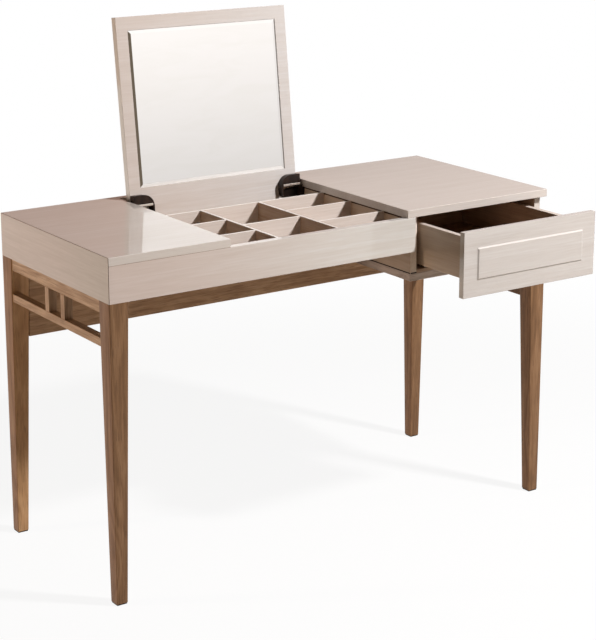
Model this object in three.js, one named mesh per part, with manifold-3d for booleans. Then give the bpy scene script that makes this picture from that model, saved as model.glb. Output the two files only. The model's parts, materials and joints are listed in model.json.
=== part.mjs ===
// Dressing table: a long lacquered top on tapered walnut legs. Its middle bay opens as a mirror lid over a
// divided tray, and a drawer box hangs under its right end. Millimetres; x runs to the right, y to the back,
// z up. Every place is measured from the front left corner of the floor plan until the last lines, which
// set the origin under the middle of the whole piece. At rest the lid and the drawer stand open.

import * as THREE from 'three';
import { mergeVertices } from 'three/addons/utils/BufferGeometryUtils.js';
import Module from 'manifold-3d';

const wasm = await Module();
wasm.setup();

// Overall sizes
const tableHeight = 760;
const tableDepth = 500;
const leftTopLength = 292;
const lidBayLength = 470;
const rightTopLength = 416;
const boardThickness = 18;
const fitGap = 0.3;
const cutOverrun = 5;

// Carcass under the left top and the lid
const carcassHeight = 98;
const carcassFloorThickness = 6;
const topOverhang = 5;
const mitreGap = 0.5;

// Tray in the lid bay
const longDividerThickness = 6;
const crossDividerThickness = 5;
const dividerDrop = 0.5;
const hingeSpace = 141;
const longDividerShares = [0.285, 0.614];
const crossDividerShares = [[0.275, 0.655], [0.455], [0.25, 0.655]];

// Lid and mirror
const lidOpenDegrees = 97;
const lidSeat = 0.5;
const lidSideGap = 4.6;
const hingeSetback = 63;
const lidSwingGap = 1;
const mirrorSideMargin = 30;
const mirrorUpperMargin = 31.5;
const mirrorLowerMargin = 44.5;
const pocketDepth = 5.5;
const glassThickness = 4;
const glassBevelWidth = 7.5;
const glassBevelDepth = 1;

// Lid hinges
const pinRadius = 3;
const knuckleRadius = 6;
const leafWidth = 53;
const leafSideInset = 0.5;
const leafAbove = 30;
const leafBelow = 24;
const leafProtrusion = 18;
const leafCornerRadius = 27;
const leafTailRadius = 14;
const leafCheek = 4;
const leafPlate = 2;
const pinWindow = 1.5;
const bracketLength = 40;
const bracketAbove = 6;
const bracketBelow = 36;
const arcSteps = 12;
const roundSides = 32;

// Legs and rails
const legTopWidth = 45;
const footWidth = 26;
const glideHeight = 3;
const glideInset = 1;
const latticeThickness = 20;
const latticeInset = 2;
const upperRailHeight = 26.5;
const windowHeight = 54.5;
const lowerRailHeight = 18.5;
const barWidth = 18;
const barSpacing = 73;
const backRailThickness = 20;
const backRailSetback = 22;
const backRailHeight = 187;

// Drawer box and the frame under it
const boxHeight = 136;
const boxEndInset = 5;
const boxFloorThickness = 8;
const frameThickness = 18;
const frameRailWidth = 45;

// Drawer
const drawerOpening = 169;
const frontThickness = 15;
const frontInnerGap = 2;
const frontEndGap = 3;
const frontUpperGap = 3.5;
const frontLowerGap = 1;
const fieldMargin = 38;
const fieldRise = 3;
const fieldBevel = 3;
const drawerSideThickness = 14;
const drawerFloorThickness = 6;
const drawerSideGap = 11;
const drawerLift = 9;
const drawerTopDrop = 22.5;
const drawerBackGap = 47;

// Drawer runners
const runnerHeight = 17;
const runnerWall = 1.5;
const runnerChannelWidth = 24;
const runnerChannelHeight = 12;
const runnerCapHeight = 13;
const runnerSetback = 5;

// Main lines that the sizes give
const tableLength = leftTopLength + lidBayLength + rightTopLength;
const topUnderside = tableHeight - boardThickness;
const carcassBase = tableHeight - carcassHeight;
const carcassFloorTop = carcassBase + carcassFloorThickness;
const rearInner = tableDepth - boardThickness;
const lidBay = [leftTopLength, leftTopLength + lidBayLength];
const trayX = [lidBay[0] - topOverhang, lidBay[1] + topOverhang];
const carcassEnd = trayX[1] + boardThickness;
const hingeY = tableDepth - hingeSetback;
const boxBase = topUnderside - boxHeight;
const boxFloorTop = boxBase + boxFloorThickness;
const frameBase = boxBase - frameThickness;
const boxInnerX = [carcassEnd + boardThickness, tableLength - boxEndInset - boardThickness];

// Finishes
function finish(color, roughness, metalness = 0) {
  return new THREE.MeshStandardMaterial({ color, roughness, metalness });
}

const lacquer = finish(0xc6b9aa, 0.25);
const dividerLacquer = finish(0xb5a494, 0.4);
const walnut = finish(0x7d5c45, 0.5);
const darkWalnut = finish(0x4b3426, 0.55);
const drawerFinish = finish(0x6b5644, 0.5);
const mirrorSilver = finish(0xe4e8e4, 0.04, 1);
const hingeBlack = finish(0x1c1613, 0.45);
const steel = finish(0xb9b4ae, 0.25, 1);
const glideBlack = finish(0x2a2622, 0.8);

// Shape helpers
const middle = ([low, high]) => (low + high) / 2;
const span = ([low, high]) => high - low;
const around = (centre, width) => [centre - width / 2, centre + width / 2];

function addMesh(parent, name, material, geometry) {
  const mesh = new THREE.Mesh(geometry, material);
  mesh.name = name;
  parent.add(mesh);
  return mesh;
}

// A square-edged board between two limits on each axis
function addBoard(parent, name, material, x, y, z) {
  const mesh = addMesh(parent, name, material, new THREE.BoxGeometry(span(x), span(y), span(z)));
  mesh.position.set(middle(x), middle(y), middle(z));
  return mesh;
}

function boxGeometry(x, y, z) {
  const geometry = new THREE.BoxGeometry(span(x), span(y), span(z));
  return geometry.translate(middle(x), middle(y), middle(z));
}

// A rod round the x direction, centred on (y, z) = (0, 0)
function rodGeometry(radius, x) {
  const geometry = new THREE.CylinderGeometry(radius, radius, span(x), roundSides);
  return geometry.rotateZ(Math.PI / 2).translate(middle(x), 0, 0);
}

// Turns an outline's plane and its depth to the table's axes: (y, z) along x, (x, z) along y, (x, y) along z
const prismTurn = {
  x: [new THREE.Vector3(0, 1, 0), new THREE.Vector3(0, 0, 1), new THREE.Vector3(1, 0, 0)],
  y: [new THREE.Vector3(1, 0, 0), new THREE.Vector3(0, 0, 1), new THREE.Vector3(0, -1, 0)],
  z: [new THREE.Vector3(1, 0, 0), new THREE.Vector3(0, 1, 0), new THREE.Vector3(0, 0, 1)],
};

// A prism whose outline runs between two limits on one axis
function prismGeometry(axis, points, limits) {
  const outline = new THREE.Shape(points.map(([across, up]) => new THREE.Vector2(across, up)));
  const geometry = new THREE.ExtrudeGeometry(outline, { depth: span(limits), bevelEnabled: false });
  geometry.applyMatrix4(new THREE.Matrix4().makeBasis(...prismTurn[axis]));
  const shift = new THREE.Vector3();
  shift[axis] = axis === 'y' ? limits[1] : limits[0];
  return geometry.translate(shift.x, shift.y, shift.z);
}

// A closed solid through rectangular sections in rising order along one axis. A section names its place on
// that axis and its two limits on each of the others, as in { z: 0, x: [0, 1], y: [0, 1] }.
function loftGeometry(axis, sections) {
  const axes = ['x', 'y', 'z'];
  const across = axes[(axes.indexOf(axis) + 1) % axes.length];
  const up = axes[(axes.indexOf(axis) + 2) % axes.length];
  const corners = sections.flatMap((section) => {
    const [left, right] = section[across];
    const [low, high] = section[up];
    const ring = [[left, low], [right, low], [right, high], [left, high]];
    return ring.map(([a, b]) => ({ [axis]: section[axis], [across]: a, [up]: b }));
  });
  const faces = [0, 2, 1, 0, 3, 2];
  for (let start = 0; start + 4 < corners.length; start += 4) {
    for (let side = 0; side < 4; side += 1) {
      const here = start + side;
      const next = start + (side + 1) % 4;
      faces.push(here, next, next + 4, here, next + 4, here + 4);
    }
  }
  const last = corners.length - 4;
  faces.push(last, last + 1, last + 2, last, last + 2, last + 3);
  const geometry = new THREE.BufferGeometry();
  const places = corners.flatMap((corner) => [corner.x, corner.y, corner.z]);
  geometry.setAttribute('position', new THREE.Float32BufferAttribute(places, 3));
  geometry.setIndex(faces);
  const flatShaded = geometry.toNonIndexed();
  flatShaded.computeVertexNormals();
  return flatShaded;
}

// Solids for cuts and joins
function toSolid(geometry) {
  const bare = geometry.clone();
  bare.deleteAttribute('normal');
  bare.deleteAttribute('uv');
  const merged = mergeVertices(bare);
  const vertProperties = new Float32Array(merged.attributes.position.array);
  const triVerts = new Uint32Array(merged.index.array);
  return new wasm.Manifold(new wasm.Mesh({ numProp: 3, vertProperties, triVerts }));
}

function fromSolid(solid) {
  const mesh = solid.getMesh();
  const geometry = new THREE.BufferGeometry();
  geometry.setAttribute('position', new THREE.BufferAttribute(mesh.vertProperties, 3));
  geometry.setIndex(new THREE.BufferAttribute(mesh.triVerts, 1));
  const flatShaded = geometry.toNonIndexed();
  flatShaded.computeVertexNormals();
  return flatShaded;
}

const table = new THREE.Group();

// Legs taper on their two inner faces; the outer faces stand upright. The width falls in a straight line
// from the carcass base to the floor, and the short legs end at the frame under the drawer box.
function legWidthAt(z) {
  return footWidth + (legTopWidth - footWidth) * z / carcassBase;
}

function addLegs() {
  const corners = [
    { name: 'left_front', x: 0, y: 0, turn: 0, top: carcassBase },
    { name: 'right_front', x: tableLength, y: 0, turn: 1, top: frameBase },
    { name: 'right_back', x: tableLength, y: tableDepth, turn: 2, top: frameBase },
    { name: 'left_back', x: 0, y: tableDepth, turn: 3, top: carcassBase },
  ];
  for (const { name, x, y, turn, top } of corners) {
    const corner = new THREE.Group();
    corner.position.set(x, y, 0);
    corner.rotation.z = turn * Math.PI / 2;
    table.add(corner);
    const footLimits = [0, legWidthAt(glideHeight)];
    const topLimits = [0, legWidthAt(top)];
    const sections = [
      { z: glideHeight, x: footLimits, y: footLimits },
      { z: top, x: topLimits, y: topLimits },
    ];
    addMesh(corner, `leg_${name}`, walnut, loftGeometry('z', sections));
    const glideLimits = [glideInset, footWidth - glideInset];
    addBoard(corner, `glide_${name}`, glideBlack, glideLimits, glideLimits, [0, glideHeight]);
  }
}

// A rail between a front and a back leg, its ends following their slant
function sideRailGeometry(x, z) {
  const frontAt = (height) => legWidthAt(height) + fitGap;
  const backAt = (height) => tableDepth - legWidthAt(height) - fitGap;
  const outline = [
    [frontAt(z[0]), z[0]],
    [backAt(z[0]), z[0]],
    [backAt(z[1]), z[1]],
    [frontAt(z[1]), z[1]],
  ];
  return prismGeometry('x', outline, x);
}

// Each end of the table has a lattice of two rails and two upright bars between its legs
function addLattices() {
  const rightInner = tableLength - latticeInset - latticeThickness;
  const ends = [
    { name: 'left', x: [latticeInset, latticeInset + latticeThickness], top: carcassBase },
    { name: 'right', x: [rightInner, rightInner + latticeThickness], top: frameBase },
  ];
  for (const { name, x, top } of ends) {
    const windowTop = top - upperRailHeight;
    const windowBase = windowTop - windowHeight;
    addMesh(table, `${name}_upper_rail`, walnut, sideRailGeometry(x, [windowTop, top]));
    const lowerRail = sideRailGeometry(x, [windowBase - lowerRailHeight, windowBase]);
    addMesh(table, `${name}_lower_rail`, walnut, lowerRail);
    for (const [place, side] of [['front', -1], ['back', 1]]) {
      const y = around((tableDepth + side * barSpacing) / 2, barWidth);
      addBoard(table, `${name}_bar_${place}`, walnut, x, y, [windowBase, windowTop]);
    }
  }
}

// The back rail joins the back legs and steps down where it passes under the drawer box
function addBackRail() {
  const base = carcassBase - backRailHeight;
  const leftAt = (z) => legWidthAt(z) + fitGap;
  const rightAt = (z) => tableLength - legWidthAt(z) - fitGap;
  const outline = [
    [leftAt(base), base],
    [rightAt(base), base],
    [rightAt(frameBase), frameBase],
    [carcassEnd, frameBase],
    [carcassEnd, carcassBase],
    [leftAt(carcassBase), carcassBase],
  ];
  const back = tableDepth - backRailSetback;
  const y = [back - backRailThickness, back];
  addMesh(table, 'back_rail', darkWalnut, prismGeometry('y', outline, y));
}

// The mitred left end: its top and front edges are cut at 45 degrees. The same wedge, shifted by the joint
// gap and run past the corner, cuts the boards that meet it.
function mitreWedge(shift, outerRun) {
  const section = (x, run) => ({
    x: x + shift,
    y: [x, tableDepth + run],
    z: [carcassBase - run, tableHeight - x],
  });
  return loftGeometry('x', [section(-outerRun, outerRun), section(boardThickness, outerRun)]);
}

function addCarcass() {
  const cutter = toSolid(mitreWedge(mitreGap, cutOverrun));
  const mitred = (x, y, z) => fromSolid(toSolid(boxGeometry(x, y, z)).subtract(cutter));
  addMesh(table, 'left_end_panel', lacquer, mitreWedge(0, 0));
  const leftTop = mitred([0, leftTopLength], [0, tableDepth], [topUnderside, tableHeight]);
  addMesh(table, 'left_top', lacquer, leftTop);
  const apron = mitred([0, carcassEnd], [0, boardThickness], [carcassBase, topUnderside]);
  addMesh(table, 'front_apron', lacquer, apron);
  const backOutline = [
    [boardThickness, carcassBase],
    [carcassEnd, carcassBase],
    [carcassEnd, topUnderside],
    [lidBay[1], topUnderside],
    [lidBay[1], tableHeight],
    [lidBay[0], tableHeight],
    [lidBay[0], topUnderside],
    [boardThickness, topUnderside],
  ];
  addMesh(table, 'carcass_back', lacquer, prismGeometry('y', backOutline, [rearInner, tableDepth]));
  const inside = [boardThickness, rearInner];
  const floorZ = [carcassBase, carcassFloorTop];
  addBoard(table, 'carcass_floor', dividerLacquer, [boardThickness, trayX[1]], inside, floorZ);
  const leftWallX = [trayX[0] - boardThickness, trayX[0]];
  addBoard(table, 'carcass_left_wall', dividerLacquer, leftWallX, inside, [carcassFloorTop, topUnderside]);
  const rightWallX = [trayX[1], carcassEnd];
  addBoard(table, 'carcass_right_wall', dividerLacquer, rightWallX, inside, [carcassBase, topUnderside]);
}

// Three columns of open cells in front of the hinge space
function addTray() {
  const z = [carcassFloorTop, topUnderside - dividerDrop];
  const back = rearInner - hingeSpace;
  const cellY = [boardThickness, back - longDividerThickness];
  addBoard(table, 'tray_back', dividerLacquer, trayX, [cellY[1], back], z);
  const dividerX = longDividerShares.map((share) => (
    around(trayX[0] + share * span(trayX), longDividerThickness)
  ));
  for (const [index, x] of dividerX.entries()) {
    addBoard(table, `tray_long_divider_${index + 1}`, dividerLacquer, x, cellY, z);
  }
  const columns = [
    [trayX[0], dividerX[0][0]],
    [dividerX[0][1], dividerX[1][0]],
    [dividerX[1][1], trayX[1]],
  ];
  for (const [column, shares] of crossDividerShares.entries()) {
    for (const [row, share] of shares.entries()) {
      const y = around(cellY[0] + share * span(cellY), crossDividerThickness);
      const name = `tray_cross_divider_${column + 1}_${row + 1}`;
      addBoard(table, name, dividerLacquer, columns[column], y, z);
    }
  }
}

// The lid's own frame has its origin on the hinge axis and lies as the closed lid does: y to the back, z up
const lidX = [lidBay[0] + lidSideGap, lidBay[1] - lidSideGap];
const lidFace = boardThickness;
const lid = new THREE.Group();
lid.position.set(0, hingeY, topUnderside);
lid.rotation.x = -THREE.MathUtils.degToRad(lidOpenDegrees);
table.add(lid);

const hinges = [
  { name: 'left', side: -1, edge: lidX[0], bayEdge: lidBay[0], wall: trayX[0] },
  { name: 'right', side: 1, edge: lidX[1], bayEdge: lidBay[1], wall: trayX[1] },
];

const inOrder = (a, b) => [Math.min(a, b), Math.max(a, b)];

function leafLimits({ side, edge }) {
  const outer = edge - side * leafSideInset;
  return { outer, inner: outer - side * leafWidth };
}

function addLid() {
  const swing = hingeSetback - boardThickness - lidSwingGap;
  const tail = Math.sqrt(swing ** 2 - boardThickness ** 2);
  let panel = toSolid(boxGeometry(lidX, [-hingeY, tail], [lidSeat, lidFace]));
  const pocketX = [lidX[0] + mirrorSideMargin, lidX[1] - mirrorSideMargin];
  const pocketY = [mirrorUpperMargin - hingeY, -mirrorLowerMargin];
  const pocketZ = [lidSeat - cutOverrun, lidSeat + pocketDepth];
  panel = panel.subtract(toSolid(boxGeometry(pocketX, pocketY, pocketZ)));
  for (const hinge of hinges) {
    const { edge, side } = hinge;
    const mortiseX = inOrder(leafLimits(hinge).inner - side * fitGap, edge + side * cutOverrun);
    const room = knuckleRadius + fitGap;
    const mortise = boxGeometry(mortiseX, [-room, room], [lidSeat - cutOverrun, room]);
    panel = panel.subtract(toSolid(mortise));
  }
  addMesh(lid, 'lid_panel', lacquer, fromSolid(panel));
  const glassX = [pocketX[0] + fitGap, pocketX[1] - fitGap];
  const glassY = [pocketY[0] + fitGap, pocketY[1] - fitGap];
  const glassBack = pocketZ[1] - fitGap;
  const glassFace = glassBack - glassThickness;
  const inset = ([low, high]) => [low + glassBevelWidth, high - glassBevelWidth];
  const glass = loftGeometry('z', [
    { z: glassFace, x: inset(glassX), y: inset(glassY) },
    { z: glassFace + glassBevelDepth, x: glassX, y: glassY },
    { z: glassBack, x: glassX, y: glassY },
  ]);
  addMesh(lid, 'mirror_glass', mirrorSilver, glass);
}

// Outline of a hinge leaf in the lid's plane, with a large and a smaller round corner on the lid's inner side
function leafOutline(side, outer, inner) {
  const corner = (radius, level, turn) => Array.from({ length: arcSteps + 1 }, (_, step) => {
    const angle = step / arcSteps * Math.PI / 2;
    return [inner + side * radius * (1 - Math.cos(angle)), level + turn * radius * (1 - Math.sin(angle))];
  });
  return [
    ...corner(leafTailRadius, leafBelow, -1),
    [outer, leafBelow],
    [outer, -leafAbove],
    ...corner(leafCornerRadius, -leafAbove, 1).reverse(),
  ];
}

// A leaf is a hood above the pin, two bored cheeks round its ends and a thin plate below it
function leafSolid({ side, edge }) {
  const { outer, inner } = leafLimits({ side, edge });
  const body = prismGeometry('z', leafOutline(side, outer, inner), [-leafProtrusion, lidSeat - fitGap]);
  let leaf = toSolid(body);
  const innerCheek = inOrder(inner, inner + side * leafCheek);
  const outerCheek = inOrder(outer, outer - side * leafCheek);
  for (const cheek of [innerCheek, outerCheek]) {
    leaf = leaf.add(toSolid(rodGeometry(knuckleRadius, cheek)));
  }
  const between = inOrder(inner + side * leafCheek, outer - side * leafCheek);
  const windowEdge = pinRadius + pinWindow;
  const recessY = [-windowEdge, leafBelow + cutOverrun];
  const recess = boxGeometry(between, recessY, [-leafProtrusion - cutOverrun, -leafPlate]);
  const slot = boxGeometry(between, [-windowEdge, windowEdge], [-leafPlate - cutOverrun, cutOverrun]);
  const boreX = inOrder(inner - side * cutOverrun, outer + side * cutOverrun);
  const bore = rodGeometry(pinRadius + fitGap, boreX);
  return leaf.subtract(toSolid(recess)).subtract(toSolid(slot)).subtract(toSolid(bore));
}

// A bracket stands against the bay's wall, and its ear rises in the gap beside the lid
function bracketSolid({ side, edge, bayEdge, wall }) {
  const face = edge + side * fitGap;
  const earBack = bayEdge - side * fitGap;
  const outline = [
    [face, -bracketBelow],
    [wall, -bracketBelow],
    [wall, -fitGap],
    [earBack, -fitGap],
    [earBack, bracketAbove],
    [face, bracketAbove],
  ];
  const body = toSolid(prismGeometry('y', outline, around(0, bracketLength)));
  const boreX = inOrder(face - side * cutOverrun, bayEdge);
  return body.subtract(toSolid(rodGeometry(pinRadius + fitGap, boreX)));
}

function addHinges() {
  for (const hinge of hinges) {
    addMesh(lid, `lid_hinge_leaf_${hinge.name}`, hingeBlack, fromSolid(leafSolid(hinge)));
    const bracket = fromSolid(bracketSolid(hinge));
    const bracketMesh = addMesh(table, `lid_hinge_bracket_${hinge.name}`, hingeBlack, bracket);
    bracketMesh.position.set(0, hingeY, topUnderside);
    const pinX = inOrder(leafLimits(hinge).inner, hinge.bayEdge - hinge.side * fitGap);
    const pinMesh = addMesh(table, `lid_hinge_pin_${hinge.name}`, steel, rodGeometry(pinRadius, pinX));
    pinMesh.position.set(0, hingeY, topUnderside);
  }
}

// The right top covers the drawer box, which stands on a flat walnut frame between the right legs' tops
function addDrawerBox() {
  const fromFront = [boardThickness, tableDepth];
  const wallZ = [boxBase, topUnderside];
  const rightWallX = [boxInnerX[1], boxInnerX[1] + boardThickness];
  addBoard(table, 'right_top', lacquer, [lidBay[1], tableLength], [0, tableDepth], [topUnderside, tableHeight]);
  addBoard(table, 'box_left_wall', lacquer, [carcassEnd, boxInnerX[0]], fromFront, wallZ);
  addBoard(table, 'box_right_wall', lacquer, rightWallX, fromFront, wallZ);
  addBoard(table, 'box_back', dividerLacquer, boxInnerX, [rearInner, tableDepth], wallZ);
  const floorY = [boardThickness, rearInner];
  addBoard(table, 'box_floor', dividerLacquer, boxInnerX, floorY, [boxBase, boxFloorTop]);
  const frameX = [carcassEnd, tableLength];
  const frameZ = [frameBase, boxBase];
  const frontY = [boardThickness, boardThickness + frameRailWidth];
  const backY = [tableDepth - frameRailWidth, tableDepth];
  const sideY = [frontY[1], backY[0]];
  addBoard(table, 'frame_front_rail', walnut, frameX, frontY, frameZ);
  addBoard(table, 'frame_back_rail', walnut, frameX, backY, frameZ);
  addBoard(table, 'frame_left_rail', walnut, [frameX[0], frameX[0] + frameRailWidth], sideY, frameZ);
  addBoard(table, 'frame_right_rail', walnut, [frameX[1] - frameRailWidth, frameX[1]], sideY, frameZ);
}

// The drawer's groups are drawn shut and pulled out by the opening
const drawer = new THREE.Group();
drawer.position.y = -drawerOpening;
table.add(drawer);

const drawerOuterX = [boxInnerX[0] + drawerSideGap, boxInnerX[1] - drawerSideGap];
const drawerInnerX = [drawerOuterX[0] + drawerSideThickness, drawerOuterX[1] - drawerSideThickness];
const drawerRear = rearInner - drawerBackGap;
const drawerFloorBase = boxFloorTop + runnerHeight;

function addDrawer() {
  const frontX = [carcassEnd + frontInnerGap, tableLength - frontEndGap];
  const frontZ = [frameBase + frontLowerGap, topUnderside - frontUpperGap];
  const inset = ([low, high], margin) => [low + margin, high - margin];
  const section = (y, margin) => ({ y, x: inset(frontX, margin), z: inset(frontZ, margin) });
  const front = loftGeometry('y', [
    section(-fieldRise, fieldMargin + fieldBevel),
    section(0, fieldMargin),
    section(0, 0),
    section(frontThickness, 0),
  ]);
  addMesh(drawer, 'drawer_front', lacquer, front);
  const y = [frontThickness, drawerRear];
  const sideZ = [boxFloorTop + drawerLift, topUnderside - drawerTopDrop];
  const floorZ = [drawerFloorBase, drawerFloorBase + drawerFloorThickness];
  addBoard(drawer, 'drawer_left_side', drawerFinish, [drawerOuterX[0], drawerInnerX[0]], y, sideZ);
  addBoard(drawer, 'drawer_right_side', drawerFinish, [drawerInnerX[1], drawerOuterX[1]], y, sideZ);
  const backY = [drawerRear - drawerSideThickness, drawerRear];
  addBoard(drawer, 'drawer_back', drawerFinish, drawerInnerX, backY, [floorZ[1], sideZ[1]]);
  addBoard(drawer, 'drawer_floor', drawerFinish, drawerInnerX, y, floorZ);
}

// Telescopic runners under the drawer floor: an open channel on the box floor, a cap over it under the
// drawer floor, and a bar between them that travels half as far as the drawer
function addRunners() {
  const y = [boardThickness + runnerSetback, drawerRear - runnerSetback];
  const capWidth = runnerChannelWidth + 2 * (fitGap + runnerWall);
  const barRoom = runnerChannelWidth - 2 * (runnerWall + fitGap);
  const middleGroup = new THREE.Group();
  middleGroup.position.y = -drawerOpening / 2;
  table.add(middleGroup);
  for (const [name, wall, side] of [['left', drawerInnerX[0], 1], ['right', drawerInnerX[1], -1]]) {
    const centre = wall + side * (capWidth / 2 + fitGap);
    const channelOut = around(centre, runnerChannelWidth);
    const channelIn = around(centre, runnerChannelWidth - 2 * runnerWall);
    const channelTop = boxFloorTop + runnerChannelHeight;
    const channelFloor = boxFloorTop + runnerWall;
    const channel = [
      [channelOut[0], boxFloorTop],
      [channelOut[1], boxFloorTop],
      [channelOut[1], channelTop],
      [channelIn[1], channelTop],
      [channelIn[1], channelFloor],
      [channelIn[0], channelFloor],
      [channelIn[0], channelTop],
      [channelOut[0], channelTop],
    ];
    addMesh(table, `runner_channel_${name}`, steel, prismGeometry('y', channel, y));
    const capOut = around(centre, capWidth);
    const capIn = around(centre, capWidth - 2 * runnerWall);
    const capBase = drawerFloorBase - runnerCapHeight;
    const capRoof = drawerFloorBase - runnerWall;
    const cap = [
      [capOut[0], capBase],
      [capIn[0], capBase],
      [capIn[0], capRoof],
      [capIn[1], capRoof],
      [capIn[1], capBase],
      [capOut[1], capBase],
      [capOut[1], drawerFloorBase],
      [capOut[0], drawerFloorBase],
    ];
    addMesh(drawer, `runner_cap_${name}`, steel, prismGeometry('y', cap, y));
    const barZ = [channelFloor + fitGap, capRoof - fitGap];
    addBoard(middleGroup, `runner_bar_${name}`, steel, around(centre, barRoom), y, barZ);
  }
}

addLegs();
addLattices();
addBackRail();
addCarcass();
addTray();
addLid();
addHinges();
addDrawerBox();
addDrawer();
addRunners();

// The origin lies under the middle of the whole piece as it stands open
table.updateMatrixWorld(true);
const bounds = new THREE.Box3().setFromObject(table, true);
const centre = bounds.getCenter(new THREE.Vector3());
const root = new THREE.Group();
table.position.set(-centre.x, -centre.y, -bounds.min.z);
root.add(table);

export default root;
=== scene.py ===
"""Finished look of a dressing table: lacquered boards, tapered walnut legs, a mirror lid and one drawer.

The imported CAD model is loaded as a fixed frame. Each sub-assembly below builds its own pieces on that frame,
with eased edges, wood grain and fittings, and rides them on the CAD bodies. Metres; x runs to the right,
y to the back and z up.
"""

import json
import logging
import math
from dataclasses import dataclass, field
from enum import Enum
from typing import Any, Dict, List, Optional, Sequence, Tuple, Union

import bmesh
import bpy
from mathutils import Euler, Matrix, Vector

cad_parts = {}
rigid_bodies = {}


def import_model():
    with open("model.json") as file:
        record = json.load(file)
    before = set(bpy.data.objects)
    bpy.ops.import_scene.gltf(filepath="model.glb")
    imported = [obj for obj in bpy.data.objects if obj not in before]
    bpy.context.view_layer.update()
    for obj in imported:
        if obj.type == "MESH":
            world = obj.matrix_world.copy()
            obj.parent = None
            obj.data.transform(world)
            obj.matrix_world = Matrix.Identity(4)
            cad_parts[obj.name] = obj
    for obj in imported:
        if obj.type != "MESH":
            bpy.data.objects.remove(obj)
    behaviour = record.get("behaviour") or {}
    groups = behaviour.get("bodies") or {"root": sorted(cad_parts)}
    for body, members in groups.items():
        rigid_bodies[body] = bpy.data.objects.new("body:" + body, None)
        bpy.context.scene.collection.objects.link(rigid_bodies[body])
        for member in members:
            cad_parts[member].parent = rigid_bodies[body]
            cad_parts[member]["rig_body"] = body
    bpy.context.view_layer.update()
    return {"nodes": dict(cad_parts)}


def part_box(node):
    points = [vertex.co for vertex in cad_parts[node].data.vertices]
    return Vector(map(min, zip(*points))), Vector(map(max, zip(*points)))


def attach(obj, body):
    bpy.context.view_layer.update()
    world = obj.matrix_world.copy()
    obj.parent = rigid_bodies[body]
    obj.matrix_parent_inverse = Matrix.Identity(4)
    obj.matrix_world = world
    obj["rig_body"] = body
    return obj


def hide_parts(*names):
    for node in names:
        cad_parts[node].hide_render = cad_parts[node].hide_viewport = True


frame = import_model()

LOG = logging.getLogger("dressing_table")

Colour = Tuple[float, float, float, float]
Point = Tuple[float, float, float]

# Finishes for single faces of a piece, by the way those faces look; most of them paint light or shade on those
# faces.
FaceFinishes = Sequence[Tuple[bpy.types.Material, Sequence[Point]]]

MM = 0.001
UP = (0.0, 0.0, 1.0)
WHITE = (1.0, 1.0, 1.0, 1.0)


def paint(red: int, green: int, blue: int) -> Colour:
    """Turns a colour chip of 0 to 255 into Blender's linear colour.

    Args:
        red: Red part of the chip.
        green: Green part of the chip.
        blue: Blue part of the chip.

    Returns:
        The linear colour with full alpha.
    """
    def linear(part: int) -> float:
        """Linear value of one part."""
        share = part / 255
        return share / 12.92 if share <= 0.04045 else ((share + 0.055) / 1.055) ** 2.4
    return linear(red), linear(green), linear(blue), 1.0


def chips(*parts: Tuple[int, int, int]) -> Dict[str, Colour]:
    """Names the colour chips of a wood: its light, middle and dark streaks, and its pores.

    Args:
        *parts: Red, green and blue of each chip, in that order; the pores' chip may be left out.

    Returns:
        The linear colours under the names of the finishes' fields.
    """
    return {name: paint(*part) for name, part in zip(("light", "mid", "dark", "pore"), parts)}


def around(middle: float, spread: Tuple[float, float]) -> Tuple[float, float]:
    """The two ends of a spread around a middle value."""
    return middle + spread[0], middle + spread[1]


# ---------------------------------------------------------------------------------------------------
# Node trees
# ---------------------------------------------------------------------------------------------------


class NodePad:
    """Adds nodes to one shader or geometry tree."""

    def __init__(self, tree: bpy.types.NodeTree) -> None:
        """Keeps the tree that gets the nodes."""
        self.tree = tree

    def node(
        self,
        kind: str,
        settings: Optional[Dict[str, Any]] = None,
        inputs: Optional[Dict[Union[int, str], Any]] = None,
    ) -> bpy.types.Node:
        """Adds one node, sets it up and feeds its sockets.

        Args:
            kind: Blender's type name of the node.
            settings: The node's own settings; "stops" holds a ramp's places and colours.
            inputs: What each input socket gets, by name or number: a Wire or a plain value.

        Returns:
            The new node.
        """
        made = self.tree.nodes.new(kind)
        for name, value in (settings or {}).items():
            if name == "stops":
                self._set_stops(made.color_ramp, value)
            else:
                setattr(made, name, value)
        for key, value in (inputs or {}).items():
            if isinstance(value, Wire):
                self.tree.links.new(value.socket, made.inputs[key])
            else:
                made.inputs[key].default_value = value
        return made

    def wire(
        self,
        kind: str,
        settings: Optional[Dict[str, Any]] = None,
        inputs: Optional[Dict[Union[int, str], Any]] = None,
        output: Union[int, str] = 0,
    ) -> "Wire":
        """Adds one node as node() does and wraps one of its outputs.

        Args:
            kind: Blender's type name of the node.
            settings: The node's own settings.
            inputs: What each input socket gets.
            output: Name or number of the output that is wanted.

        Returns:
            The output, wrapped for arithmetic.
        """
        return Wire(self, self.node(kind, settings, inputs).outputs[output])

    def split(self, vector: "Wire") -> List["Wire"]:
        """Splits a vector into its three parts."""
        parts = self.node("ShaderNodeSeparateXYZ", None, {0: vector})
        return [Wire(self, socket) for socket in parts.outputs]

    @staticmethod
    def _set_stops(ramp: bpy.types.ColorRamp, stops: Sequence[Tuple[float, Colour]]) -> None:
        """Gives a ramp its stops.

        Args:
            ramp: The ramp of a Color Ramp node.
            stops: Place and colour of each stop, in rising order.
        """
        while len(ramp.elements) < len(stops):
            ramp.elements.new(1.0)
        for element, (place, colour) in zip(ramp.elements, stops):
            element.position = place
            element.color = colour


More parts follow.
